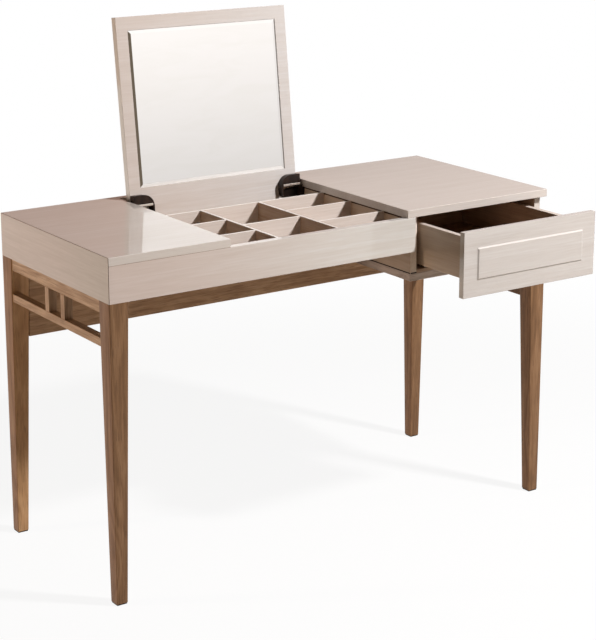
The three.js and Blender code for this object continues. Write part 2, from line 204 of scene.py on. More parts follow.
class Wire:
    """A node's output with the arithmetic of numbers; every operation adds its Math node."""

    MIX_INPUTS = (0, 6, 7)
    MIX_RESULT = 2

    def __init__(self, pad: NodePad, socket: bpy.types.NodeSocket) -> None:
        """Keeps the output and the pad that adds nodes after it."""
        self.pad = pad
        self.socket = socket

    def _math(self, operation: str, first: Any, second: Any = 0.0) -> "Wire":
        """Adds a Math node on two wires or numbers."""
        return self.pad.wire("ShaderNodeMath", {"operation": operation}, {0: first, 1: second})

    def __add__(self, other: Any) -> "Wire":
        """self + other."""
        return self._math("ADD", self, other)

    def __radd__(self, other: Any) -> "Wire":
        """other + self."""
        return self._math("ADD", other, self)

    def __sub__(self, other: Any) -> "Wire":
        """self - other."""
        return self._math("SUBTRACT", self, other)

    def __rsub__(self, other: Any) -> "Wire":
        """other - self."""
        return self._math("SUBTRACT", other, self)

    def __mul__(self, other: Any) -> "Wire":
        """self * other."""
        return self._math("MULTIPLY", self, other)

    def __rmul__(self, other: Any) -> "Wire":
        """other * self."""
        return self._math("MULTIPLY", other, self)

    def __truediv__(self, other: Any) -> "Wire":
        """self / other."""
        return self._math("DIVIDE", self, other)

    def __rtruediv__(self, other: Any) -> "Wire":
        """other / self."""
        return self._math("DIVIDE", other, self)

    def __pow__(self, other: Any) -> "Wire":
        """self to the power of other."""
        return self._math("POWER", self, other)

    def __rpow__(self, other: Any) -> "Wire":
        """other to the power of self."""
        return self._math("POWER", other, self)

    def at_least(self, other: Any) -> "Wire":
        """The larger of self and other."""
        return self._math("MAXIMUM", self, other)

    def sine(self) -> "Wire":
        """Sine of self, in radians."""
        return self._math("SINE", self)

    def smooth(self, low: float, high: float, start: float = 0.0, end: float = 1.0) -> "Wire":
        """Smooth step from start to end while self runs from low to high.

        Args:
            low: Value of self at which the step begins.
            high: Value of self at which it is complete.
            start: Result before the step.
            end: Result after it.

        Returns:
            The stepped value.
        """
        return self.pad.wire(
            "ShaderNodeMapRange",
            {"interpolation_type": "SMOOTHSTEP"},
            {"Value": self, "From Min": low, "From Max": high, "To Min": start, "To Max": end},
        )

    def ramp(self, stops: Sequence[Tuple[float, Colour]]) -> "Wire":
        """Colour along a ramp at self.

        Args:
            stops: Place and colour of each stop, in rising order.

        Returns:
            The colour.
        """
        return self.pad.wire("ShaderNodeValToRGB", {"stops": stops}, {"Fac": self})

    def between(self, first: Any, second: Any, blend: str = "MIX") -> "Wire":
        """Mixes two colours, with self as the share of the second.

        Args:
            first: Colour or wire at share 0.
            second: Colour or wire at share 1.
            blend: Blend mode of the Mix node.

        Returns:
            The mixed colour.
        """
        node = self.pad.node("ShaderNodeMix", {"data_type": "RGBA", "blend_type": blend})
        for number, value in zip(self.MIX_INPUTS, (self, first, second)):
            if isinstance(value, Wire):
                self.pad.tree.links.new(value.socket, node.inputs[number])
            else:
                node.inputs[number].default_value = value
        return Wire(self.pad, node.outputs[self.MIX_RESULT])


def blank_pad(owner: Union[bpy.types.Material, bpy.types.World]) -> NodePad:
    """Empties the node tree of a material or world.

    Args:
        owner: The material or world.

    Returns:
        Pad of its empty tree.
    """
    owner.use_nodes = True
    owner.node_tree.nodes.clear()
    return NodePad(owner.node_tree)


# ---------------------------------------------------------------------------------------------------
# Finishes
# ---------------------------------------------------------------------------------------------------


IOR = 1.5
NOISE_MEAN = 0.5


class Grain(Enum):
    """Direction in which a board's grain runs."""

    ALONG_X = 0
    ALONG_Y = 1
    ALONG_Z = 2


@dataclass(frozen=True)
class Layer:
    """How one layer of noise lies on a board.

    along and across are features per metre along and across the grain, detail is how many finer layers it
    adds, and warp is how far it bends itself.
    """

    along: float
    across: float
    detail: float = 2.0
    warp: float = 0.0


@dataclass(frozen=True)
class GrainField:
    """Noise that is stretched along a board's grain."""

    pad: NodePad
    grain: Grain
    board: int

    BOARD_STEP = (3.71, 5.23, 7.49)

    def noise(self, layer: Layer) -> Wire:
        """Soft noise stretched along the grain.

        Args:
            layer: How the noise lies on the board.

        Returns:
            The noise, about 0.5 on average.
        """
        here = self.pad.wire("ShaderNodeTexCoord", output="Object")
        scale = [layer.across] * 3
        scale[self.grain.value] = layer.along
        shift = [step * self.board for step in self.BOARD_STEP]
        place = self.pad.wire(
            "ShaderNodeMapping", None, {"Vector": here, "Scale": scale, "Location": shift}
        )
        return self.pad.wire(
            "ShaderNodeTexNoise",
            None,
            {"Vector": place, "Scale": 1.0, "Detail": layer.detail, "Distortion": layer.warp},
        )


@dataclass(frozen=True)
class Finish:
    """A finish that can be laid on a board of any grain direction."""

    name: str

    def material(self, grain: Grain = Grain.ALONG_X, board: int = 0) -> bpy.types.Material:
        """The finish for boards with one grain direction.

        Args:
            grain: Direction of the grain.
            board: Number that gives a board its own part of the pattern.

        Returns:
            The material, made at the first call.
        """
        title = f"{self.name}_{grain.name.lower()}_{board}"
        made = bpy.data.materials.get(title)
        if made is None:
            made = bpy.data.materials.new(title)
            pad = blank_pad(made)
            shader = self.surface(pad, GrainField(pad, grain, board))
            pad.node("ShaderNodeOutputMaterial", None, {"Surface": shader})
        return made

    def surface(self, pad: NodePad, field_: GrainField) -> Wire:
        """Builds the finish's shader.

        Args:
            pad: Pad of the material's tree.
            field_: Noise along the board's grain.

        Returns:
            The shader.
        """
        raise NotImplementedError

    @staticmethod
    def relief(pad: NodePad, height: Wire, strength: float, depth: float) -> Wire:
        """Normal of a surface with small relief.

        Args:
            pad: Pad of the material's tree.
            height: Height over the surface, 0 to 1.
            strength: How much of the relief shows.
            depth: Depth of the relief in metres.

        Returns:
            The normal.
        """
        return pad.wire(
            "ShaderNodeBump", None, {"Strength": strength, "Distance": depth, "Height": height}
        )


@dataclass(frozen=True)
class Lacquer(Finish):
    """Pale lacquer over fine open-pored wood, glossy or satin by its clear coat; its drift paints light and
    shade as a tint along the board.
    """

    light: Colour = paint(217, 210, 204)
    mid: Colour = paint(212, 203, 195)
    dark: Colour = paint(207, 197, 188)
    pore: Colour = paint(196, 185, 174)
    pore_share: float = 0.15
    roughness: float = 0.34
    shine: float = 0.12
    coat: float = 1.0
    coat_roughness: float = 0.025
    # drift_*: a tint that drifts along one axis of the board, painted light and shade.
    drift_axis: int = 0
    drift_span: Tuple[float, float] = (0.0, 0.0)
    drift_start: Colour = WHITE
    drift_end: Colour = WHITE
    drift_waver: float = 0.1

    BROAD = Layer(1.6, 46, 3, 0.6)
    STREAK = Layer(9, 250)
    FIBRE = Layer(26, 900, 1)
    PORES = Layer(34, 1150, 0)
    CLOUD = Layer(5, 5)
    TONE_SHARES = (0.35, 0.45, 0.2)
    TONE_STOPS = (0.34, 0.5, 0.66)
    PORE_EDGE = (0.64, 0.74)
    GLOSS_EDGE = (0.3, 0.7)
    GLOSS_SPREAD = (-0.04, 0.05)
    FIBRE_RISE = 0.6
    PORE_SINK = 0.4
    RELIEF_STRENGTH = 0.25
    RELIEF_DEPTH = 0.2 * MM

    def surface(self, pad: NodePad, field_: GrainField) -> Wire:
        """Streaks, pores and gloss of the lacquer.

        Args:
            pad: Pad of the material's tree.
            field_: Noise along the board's grain.

        Returns:
            The shader.
        """
        broad, streak, fibre = (field_.noise(layer) for layer in (self.BROAD, self.STREAK, self.FIBRE))
        by_broad, by_streak, by_fibre = self.TONE_SHARES
        tone = broad * by_broad + streak * by_streak + fibre * by_fibre
        colour = tone.ramp(list(zip(self.TONE_STOPS, (self.dark, self.mid, self.light))))
        pores = field_.noise(self.PORES).smooth(*self.PORE_EDGE)
        colour = (pores * self.pore_share).between(colour, self.pore)
        # Painted light and shade: a tint drifting along the board.
        if self.drift_span[0] < self.drift_span[1]:
            colour = self._painted_light_drift(pad, colour, broad)
        cloud = field_.noise(self.CLOUD)
        height = fibre * self.FIBRE_RISE - pores * self.PORE_SINK
        return pad.wire(
            "ShaderNodeBsdfPrincipled",
            None,
            {
                "Base Color": colour,
                "Roughness": cloud.smooth(*self.GLOSS_EDGE, *around(self.roughness, self.GLOSS_SPREAD)),
                "IOR": IOR,
                "Specular IOR Level": self.shine,
                "Normal": self.relief(pad, height, self.RELIEF_STRENGTH, self.RELIEF_DEPTH),
                "Coat Weight": self.coat,
                "Coat Roughness": self.coat_roughness,
                "Coat IOR": IOR,
            },
        )

    def _painted_light_drift(self, pad: NodePad, colour: Wire, waver: Wire) -> Wire:
        """Colour with painted light and shade: a tint that drifts along the board.

        Args:
            pad: Pad of the material's tree.
            colour: Colour without the drift.
            waver: Noise that keeps the drift from being even.

        Returns:
            The drifted colour.
        """
        here = pad.wire("ShaderNodeTexCoord", output="Object")
        along = pad.split(here)[self.drift_axis]
        share = (along + (waver - NOISE_MEAN) * self.drift_waver).smooth(*self.drift_span)
        tint = share.between(self.drift_start, self.drift_end)
        full = pad.wire("ShaderNodeValue")
        full.socket.default_value = 1.0
        return full.between(colour, tint, "MULTIPLY")


@dataclass(frozen=True)
class Walnut(Finish):
    """Oiled walnut with dark rings, fine fibres and open pores."""

    dark: Colour = paint(113, 83, 57)
    mid: Colour = paint(135, 101, 71)
    light: Colour = paint(154, 119, 87)
    pore: Colour = paint(88, 62, 42)
    roughness: float = 0.45
    shine: float = 0.25
    coat: float = 0.08
    coat_roughness: float = 0.22

    WARP = Layer(2.2, 16, 2, 0.4)
    RINGS = 46.0
    STREAK = Layer(5, 130, 3, 0.5)
    FIBRE = Layer(22, 700)
    PORES = Layer(30, 900, 0)
    TONE_SHARES = (0.14, 0.56, 0.3)
    TONE_STOPS = (0.32, 0.5, 0.7)
    PORE_EDGE = (0.6, 0.72)
    PORE_SHARE = 0.5
    GLOSS_EDGE = (0.2, 0.8)
    GLOSS_SPREAD = (0.08, -0.06)
    FIBRE_RISE = 0.7
    PORE_SINK = 0.5
    RELIEF_STRENGTH = 0.35
    RELIEF_DEPTH = 0.3 * MM

    def surface(self, pad: NodePad, field_: GrainField) -> Wire:
        """Rings, fibres and pores of the walnut.

        Args:
            pad: Pad of the material's tree.
            field_: Noise along the board's grain.

        Returns:
            The shader.
        """
        warp, streak, fibre = (field_.noise(layer) for layer in (self.WARP, self.STREAK, self.FIBRE))
        ring = (warp * self.RINGS).sine() * 0.5 + 0.5
        by_ring, by_streak, by_fibre = self.TONE_SHARES
        tone = ring * by_ring + streak * by_streak + fibre * by_fibre
        colour = tone.ramp(list(zip(self.TONE_STOPS, (self.dark, self.mid, self.light))))
        pores = field_.noise(self.PORES).smooth(*self.PORE_EDGE)
        colour = (pores * self.PORE_SHARE).between(colour, self.pore)
        height = fibre * self.FIBRE_RISE - pores * self.PORE_SINK
        return pad.wire(
            "ShaderNodeBsdfPrincipled",
            None,
            {
                "Base Color": colour,
                "Roughness": tone.smooth(*self.GLOSS_EDGE, *around(self.roughness, self.GLOSS_SPREAD)),
                "IOR": IOR,
                "Specular IOR Level": self.shine,
                "Normal": self.relief(pad, height, self.RELIEF_STRENGTH, self.RELIEF_DEPTH),
                "Coat Weight": self.coat,
                "Coat Roughness": self.coat_roughness,
                "Coat IOR": IOR,
            },
        )


@dataclass(frozen=True)
class MirrorSilver(Finish):
    """Silvered glass with a faint haze of wiping."""

    silver: Colour = paint(250, 249, 246)
    haze: Colour = paint(248, 247, 243)

    WIPE = Layer(7, 24, 3, 1.2)
    HAZE_EDGE = (0.35, 0.75)
    SMEAR = (0.4, 0.8, 0.006, 0.02)

    def surface(self, pad: NodePad, field_: GrainField) -> Wire:
        """Silver with its haze.

        Args:
            pad: Pad of the material's tree.
            field_: Noise along the board's grain.

        Returns:
            The shader.
        """
        wipe = field_.noise(self.WIPE)
        return pad.wire(
            "ShaderNodeBsdfPrincipled",
            None,
            {
                "Base Color": wipe.smooth(*self.HAZE_EDGE).between(self.silver, self.haze),
                "Metallic": 1.0,
                "Roughness": wipe.smooth(*self.SMEAR),
            },
        )


@dataclass(frozen=True)
class Metal(Finish):
    """Bright drawn steel with fine lines along the draw."""

    light: Colour = paint(222, 214, 204)
    dark: Colour = paint(176, 168, 159)
    roughness: float = 0.24

    LINES = Layer(20, 2600)
    STAIN = Layer(40, 40, 3)
    LINE_SHARE = 0.6
    STAIN_SHARE = 0.4
    EDGE = (0.3, 0.7)
    GLOSS_SPREAD = (-0.06, 0.1)
    RELIEF_STRENGTH = 0.2
    RELIEF_DEPTH = 0.05 * MM

    def surface(self, pad: NodePad, field_: GrainField) -> Wire:
        """Drawing lines of the metal.

        Args:
            pad: Pad of the material's tree.
            field_: Noise along the board's grain.

        Returns:
            The shader.
        """
        lines, extra_lacquer = field_.noise(self.LINES), field_.noise(self.STAIN)
        tone = lines * self.LINE_SHARE + extra_lacquer * self.STAIN_SHARE
        return pad.wire(
            "ShaderNodeBsdfPrincipled",
            None,
            {
                "Base Color": tone.smooth(*self.EDGE).between(self.dark, self.light),
                "Metallic": 1.0,
                "Roughness": extra_lacquer.smooth(*self.EDGE, *around(self.roughness, self.GLOSS_SPREAD)),
                "Normal": self.relief(pad, lines, self.RELIEF_STRENGTH, self.RELIEF_DEPTH),
            },
        )


@dataclass(frozen=True)
class Moulding(Finish):
    """Dark moulded plastic or rubber with a fine pebbled skin."""

    light: Colour = paint(46, 33, 26)
    dark: Colour = paint(27, 18, 14)
    roughness: float = 0.42
    shine: float = 0.3

    PEBBLES = Layer(1800.0, 1800.0, 1)
    WEAR = Layer(60, 60, 3)
    WEAR_EDGE = (0.35, 0.7)
    GLOSS_EDGE = (0.3, 0.7)
    GLOSS_SPREAD = (-0.05, 0.1)
    RELIEF_STRENGTH = 0.2
    RELIEF_DEPTH = 0.1 * MM

    def surface(self, pad: NodePad, field_: GrainField) -> Wire:
        """Skin of the moulding.

        Args:
            pad: Pad of the material's tree.
            field_: Noise along the board's grain.

        Returns:
            The shader.
        """
        skin, wear = field_.noise(self.PEBBLES), field_.noise(self.WEAR)
        return pad.wire(
            "ShaderNodeBsdfPrincipled",
            None,
            {
                "Base Color": wear.smooth(*self.WEAR_EDGE).between(self.dark, self.light),
                "Roughness": wear.smooth(*self.GLOSS_EDGE, *around(self.roughness, self.GLOSS_SPREAD)),
                "IOR": IOR,
                "Specular IOR Level": self.shine,
                "Normal": self.relief(pad, skin, self.RELIEF_STRENGTH, self.RELIEF_DEPTH),
            },
        )


SATIN = {"coat": 0.35, "coat_roughness": 0.18, "roughness": 0.42}
STAIN = {"coat": 0.2, "coat_roughness": 0.25, "roughness": 0.5}

GLOSS_LACQUER = Lacquer("gloss_lacquer")
# Apron: a tint drifting from warmer and darker at the left to cooler at the right, painted light falloff.
APRON_PAINTED_LIGHT_LACQUER = Lacquer(
    "apron_lacquer",
    drift_span=(-0.6, 0.2),
    drift_start=(0.99, 0.91, 0.89, 1.0),
    drift_end=(1.0, 1.06, 1.09, 1.0),
)
# Lid face: a tint drifting from warmer at the left to cooler at the right, painted light falloff.
LID_PAINTED_LIGHT_LACQUER = Lacquer(
    "lid_lacquer",
    drift_span=(-0.3, 0.18),
    drift_start=(1.01, 0.97, 0.955, 1.0),
    drift_end=(0.99, 1.02, 1.06, 1.0),
)
# Drawer front: a darker, greyer copy of the gloss lacquer, painted shade against the stronger light it gets.
FRONT_PAINTED_SHADE_LACQUER = Lacquer(
    "front_lacquer", **chips((210, 206, 202), (204, 198, 193), (198, 191, 185), (188, 179, 171))
)
SATIN_LACQUER = Lacquer(
    "satin_lacquer", **chips((226, 216, 208), (220, 208, 199), (213, 200, 189), (194, 180, 167)), **SATIN
)
# Left end: a darker, warmer copy of the lacquer that darkens further towards the front, painted shade.
END_PAINTED_SHADE_LACQUER = Lacquer(
    "end_lacquer", **chips((197, 183, 176), (190, 175, 167), (184, 168, 159), (174, 157, 146)),
    drift_axis=1,
    drift_span=(-0.17, 0.12),
    drift_start=(0.91, 0.93, 0.87, 1.0),
    drift_end=(0.985, 0.985, 0.975, 1.0),
)
# Lid sides: a greyer, cooler copy of the lacquer, painted light that offsets the warm left lamp.
LID_SIDE_PAINTED_LIGHT_LACQUER = Lacquer(
    "lid_side_lacquer", **chips((216, 215, 214), (211, 209, 207), (205, 202, 199), (195, 191, 187))
)
SIDE_LACQUER = Lacquer(
    "side_lacquer", **chips((192, 175, 158), (184, 166, 150), (176, 157, 140), (152, 132, 115)), **SATIN
)
# Near-white lacquer on the tops and eased edges of the tray's boards: painted highlight.
PAINTED_HIGHLIGHT_LACQUER = Lacquer(
    "edge_lacquer", **chips((252, 247, 242), (248, 242, 236), (242, 234, 226)), coat=0.5, coat_roughness=0.1
)
# Dark brown on the long dividers' sides: painted shade of the tray's cells.
DIVIDER_PAINTED_SHADE = Lacquer(
    "divider_painted_shade", **chips((196, 172, 150), (184, 158, 136), (166, 139, 117), (120, 96, 78)), **STAIN
)
# Browner finish on the faces towards the bay and the box's inner left face: painted shade.
BAY_PAINTED_SHADE = Lacquer(
    "bay_painted_shade", **chips((224, 203, 182), (214, 192, 170), (202, 179, 157), (160, 138, 118)), **STAIN
)
# Darker finish on the box's outer left face: painted shade.
BOX_SIDE_PAINTED_SHADE = Lacquer(
    "box_side_stain", **chips((170, 154, 142), (162, 146, 134), (153, 137, 125), (132, 116, 104)), **STAIN
)
# Paler finish on the box's left front edge: painted light.
BOX_EDGE_PAINTED_LIGHT = Lacquer(
    "box_edge_stain", **chips((228, 216, 206), (220, 208, 197), (211, 198, 187), (184, 169, 157)), **STAIN
)
# Darker, browner finish on the inner faces of the drawer and box and under the right top.
DARK_INNER_LACQUER = Lacquer(
    "dark_inner_lacquer", **chips((188, 164, 144), (172, 148, 129), (155, 131, 112), (112, 90, 74)),
    coat=0.1, coat_roughness=0.3, roughness=0.5,
)
WALNUT = Walnut("walnut")
# Lighter walnut on the left back leg's front face: painted light on a face in the table's shade.
PAINTED_LIGHT_WALNUT = Walnut(
    "painted_light_walnut", **chips((217, 177, 135), (200, 158, 116), (178, 137, 98), (144, 107, 76))
)
# Lighter walnut on the back rail: painted light on wood in the carcass's shade.
BACK_RAIL_PAINTED_LIGHT_WALNUT = Walnut(
    "rail_walnut", **chips((207, 175, 143), (186, 152, 121), (158, 125, 97), (118, 90, 68))
)
# Lighter walnut for the left lattice: painted light.
LEFT_LATTICE_PAINTED_LIGHT_WALNUT = Walnut(
    "lattice_walnut", **chips((192, 163, 133), (170, 140, 112), (143, 114, 88), (106, 80, 60))
)
# Paler, greyer walnut on the frame's left rail and the rails' left faces: painted light.
FRAME_PAINTED_LIGHT_WALNUT = Walnut(
    "frame_walnut", **chips((183, 171, 166), (167, 154, 149), (148, 134, 128), (122, 107, 99))
)
# Pale walnut on the frame's front rail, which lies in the drawer's shade: painted light.
FRAME_FRONT_PAINTED_LIGHT_WALNUT = Walnut(
    "frame_front_walnut", **chips((216, 205, 200), (202, 190, 184), (184, 171, 164), (152, 136, 127))
)
SILVER = MirrorSilver("mirror_silver")
STEEL = Metal("steel")
BAR_STEEL = Metal("bar_steel", light=paint(246, 240, 232), dark=paint(222, 214, 205), roughness=0.42)
HINGE_BLACK = Moulding("hinge_black")
# Near black on the hinge leaves' deep faces and the strip at the box's foot: painted shade.
PAINTED_SHADE_BLACK = Moulding("painted_shade_black", light=paint(24, 15, 11), dark=paint(14, 8, 6), roughness=0.6)
# Dark brown strip in the walls' rebates: painted shade.
REBATE_PAINTED_SHADE = Moulding("rebate_painted_shade", light=paint(98, 76, 62), dark=paint(76, 57, 45), roughness=0.7)
MITRE_FILLER = Moulding("mitre_filler", light=paint(60, 45, 36), dark=paint(46, 33, 26), roughness=0.7)
SEAM_FILLER = Moulding("seam_filler", light=paint(160, 132, 114), dark=paint(136, 109, 92), roughness=0.6)
# Near white on the mirror's lower bevel: painted highlight in place of its reflection.
BEVEL_PAINTED_HIGHLIGHT = Lacquer(
    "ground_edge", **chips((254, 253, 251), (251, 249, 246), (246, 243, 239)), coat=0.6, coat_roughness=0.2
)
GLIDE_RUBBER = Moulding("glide_rubber", light=paint(52, 46, 42), dark=paint(34, 30, 27), roughness=0.7)


# ---------------------------------------------------------------------------------------------------
# Building and fitting pieces
# ---------------------------------------------------------------------------------------------------


MERGE_DISTANCE = 0.01 * MM
FLAT_ANGLE = math.radians(1.0)
SHARP_ANGLE = math.radians(12.0)
EASE_ANGLE = math.radians(30.0)
EASE_STEPS = 2
FACING = 0.9


def plain_mesh(shape: bmesh.types.BMesh, name: str) -> bpy.types.Mesh:
    """Turns an edit mesh into a mesh of its own and frees it.

    Args:
        shape: The edit mesh.
        name: Name of the mesh.

    Returns:
        The mesh.
    """
    mesh = bpy.data.meshes.new(name)
    shape.to_mesh(mesh)
    shape.free()
    return mesh


def placed(name: str, data: Any) -> bpy.types.Object:
    """Puts a new object in the scene.

    Args:
        name: Name of the object.
        data: Its mesh, lamp or camera.

    Returns:
        The object.
    """
    made = bpy.data.objects.new(name, data)
    bpy.context.scene.collection.objects.link(made)
    return made


def loop(items: Sequence[Any]) -> List[Tuple[Any, Any]]:
    """Each item of a closed loop with the next one."""
    return list(zip(items, [*items[1:], items[0]]))


def clean_copy(node: str) -> bpy.types.Mesh:
    """Copies a CAD node's mesh as whole faces instead of loose triangles.

    Args:
        node: Name of the CAD node.

    Returns:
        The new mesh.
    """
    shape = bmesh.new()
    shape.from_mesh(frame["nodes"][node].data)
    bmesh.ops.remove_doubles(shape, verts=shape.verts, dist=MERGE_DISTANCE)
    bmesh.ops.dissolve_limit(shape, angle_limit=FLAT_ANGLE, verts=shape.verts, edges=shape.edges)
    mesh = plain_mesh(shape, node)
    mesh.materials.clear()
    return mesh


def limits(node: str) -> Tuple[Vector, Vector]:
    """Lowest and highest corner of a CAD node."""
    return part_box(node)


def line_faces(mesh: bpy.types.Mesh, *looks: Point, slot: int = 1) -> None:
    """Gives the faces that look certain ways another of the mesh's materials.

    Args:
        mesh: The board.
        *looks: Directions in which the lined faces look.
        slot: Number of the material.
    """
    for face in mesh.polygons:
        if any(face.normal.dot(Vector(look)) > FACING for look in looks):
            face.material_index = slot


def prism(name: str, start: Sequence[Point], end: Sequence[Point]) -> bpy.types.Mesh:
    """Solid between two like outlines.

    Args:
        name: Name of the mesh.
        start: Outline of the first end.
        end: Outline of the other end, with as many corners.

    Returns:
        The mesh.
    """
    shape = bmesh.new()
    first, last = ([shape.verts.new(corner) for corner in outline] for outline in (start, end))
    for (a, b), (c, d) in zip(loop(first), loop(last)):
        shape.faces.new((a, b, d, c))
    shape.faces.new(first)
    shape.faces.new(list(reversed(last)))
    bmesh.ops.recalc_face_normals(shape, faces=shape.faces)
    return plain_mesh(shape, name)


def rebated_board(node: str, side: int, depth: float, height: float) -> bpy.types.Mesh:
    """Upright board along y with a small rebate along one upper edge.

    Args:
        node: CAD node whose place the board takes.
        side: 1 where the rebate is on the +x side, else -1.
        depth: Depth of the rebate into the board.
        height: Height of the rebate below the board's top.

    Returns:
        The mesh.
    """
    low, high = limits(node)
    near, far = (high.x, low.x) if side > 0 else (low.x, high.x)
    profile = [
        (near, low.z), (far, low.z), (far, high.z),
        (near - side * depth, high.z), (near - side * depth, high.z - height), (near, high.z - height),
    ]
    return prism(node, *([(x, y, z) for x, z in profile] for y in (low.y, high.y)))


@dataclass
class Workshop:
    """Hangs finished pieces on the CAD bodies and eases their edges."""

    made: List[str] = field(default_factory=list)

    def hang(
        self,
        name: str,
        mesh: bpy.types.Mesh,
        nodes: Sequence[str],
        slot: str,
        materials: Sequence[bpy.types.Material] = (),
        ease: float = 0.0,
        body: str = "",
        sharp: float = SHARP_ANGLE,
        trim: int = -1,
    ) -> bpy.types.Object:
        """Makes a finished piece and fits it to the frame.

        Args:
            name: Name of the piece.
            mesh: Its mesh, in place.
            nodes: CAD nodes that it stands for; none for trim.
            slot: The record's material slot; not used.
            materials: Materials for its slots; none keeps the mesh's own.
            ease: Radius of its eased edges in metres.
            body: CAD body that carries it, where it is trim.
            sharp: Angle from which faces meet in a sharp line.
            trim: Material slot of the eased edges; -1 for that of the faces beside them.

        Returns:
            The piece.
        """
        for material in materials:
            mesh.materials.append(material)
        piece = placed(name, mesh)
        mesh.shade_smooth()
        mesh.set_sharp_from_angle(angle=sharp)
        if ease:
            bevel = piece.modifiers.new("eased_edges", "BEVEL")
            bevel.width = ease
            bevel.segments = EASE_STEPS
            bevel.limit_method = "ANGLE"
            bevel.angle_limit = EASE_ANGLE
            bevel.harden_normals = True
            bevel.use_clamp_overlap = True
            bevel.material = trim
        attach(piece, body or frame["nodes"][nodes[0]]["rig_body"])
        if nodes:
            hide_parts(*nodes)
        self.made.append(name)
        return piece

    def ease_node(
        self,
        node: str,
        slot: str,
        material: bpy.types.Material,
        ease: float,
        face_finishes: FaceFinishes = (),
        trim: int = -1,
    ) -> None:
        """Finishes one CAD node's shape with eased edges.

        Args:
            node: The CAD node.
            slot: The record's material slot.
            material: Its finish.
            ease: Radius of its eased edges in metres.
            face_finishes: Other finishes and the directions in which their faces look.
            trim: Material slot of the eased edges, as in hang().
        """
        mesh = clean_copy(node)
        materials = [material]
        for face_finish, looks in face_finishes:
            line_faces(mesh, *looks, slot=len(materials))
            materials.append(face_finish)
        self.hang(f"{node}_finished", mesh, [node], slot, materials, ease, trim=trim)


class SocketKind(Enum):
    """Kinds of named input that a geometry tree has."""

    LENGTH = "NodeSocketFloat"
    COUNT = "NodeSocketInt"
    OFFSET = "NodeSocketVector"
    FINISH = "NodeSocketMaterial"


class GeometryRecipe:
    """A Geometry Nodes tree with named inputs that turns a base mesh into a plain finished mesh."""

    def __init__(self, name: str, inputs: Dict[str, SocketKind]) -> None:
        """Starts the tree.

        Args:
            name: Name of the tree.
            inputs: Kind of each named input.
        """
        self.tree = bpy.data.node_groups.new(name, "GeometryNodeTree")
        faces = self.tree.interface
        faces.new_socket("Geometry", in_out="INPUT", socket_type="NodeSocketGeometry")
        self.keys = {
            title: faces.new_socket(title, in_out="INPUT", socket_type=kind.value).identifier
            for title, kind in inputs.items()
        }
        faces.new_socket("Geometry", in_out="OUTPUT", socket_type="NodeSocketGeometry")
        self.pad = NodePad(self.tree)
        self.group = self.pad.node("NodeGroupInput")

    def given(self, title: str) -> Wire:
        """The named input as a wire."""
        return Wire(self.pad, self.group.outputs[title])

    def close(self, shape: Wire, finish: str) -> None:
        """Ends the tree with realized instances and their material.

        Args:
            shape: The geometry so far.
            finish: Name of the input that holds the material.
        """
        solid = self.pad.wire("GeometryNodeRealizeInstances", None, {"Geometry": shape})
        dressed = self.pad.wire(
            "GeometryNodeSetMaterial", None, {"Geometry": solid, "Material": self.given(finish)}
        )
        self.pad.node("NodeGroupOutput", None, {"Geometry": dressed})

    def bake(self, base: bpy.types.Mesh, values: Dict[str, Any]) -> bpy.types.Mesh:
        """Runs the tree on a base mesh.

        Args:
            base: Mesh that the tree gets.
            values: Value of each named input.

        Returns:
            The result as a plain mesh.
        """
        holder = placed(base.name, base)
        modifier = holder.modifiers.new("recipe", "NODES")
        modifier.node_group = self.tree
        for title, value in values.items():
            modifier[self.keys[title]] = value
        depsgraph = bpy.context.evaluated_depsgraph_get()
        mesh = bpy.data.meshes.new_from_object(holder.evaluated_get(depsgraph))
        finish = mesh.materials[-1]
        mesh.materials.clear()
        mesh.materials.append(finish)
        mesh.polygons.foreach_set("material_index", [0] * len(mesh.polygons))
        holder.modifiers.clear()
        bpy.data.objects.remove(holder)
        return mesh


CORNER_STEPS = 4


def square_outline(pad: NodePad, width: Wire) -> Wire:
    """Square curve round the origin.

    Args:
        pad: Pad of the tree.
        width: Width of the square.

    Returns:
        The curve.
    """
    return pad.wire(
        "GeometryNodeCurvePrimitiveQuadrilateral", {"mode": "RECTANGLE"}, {"Width": width, "Height": width}
    )


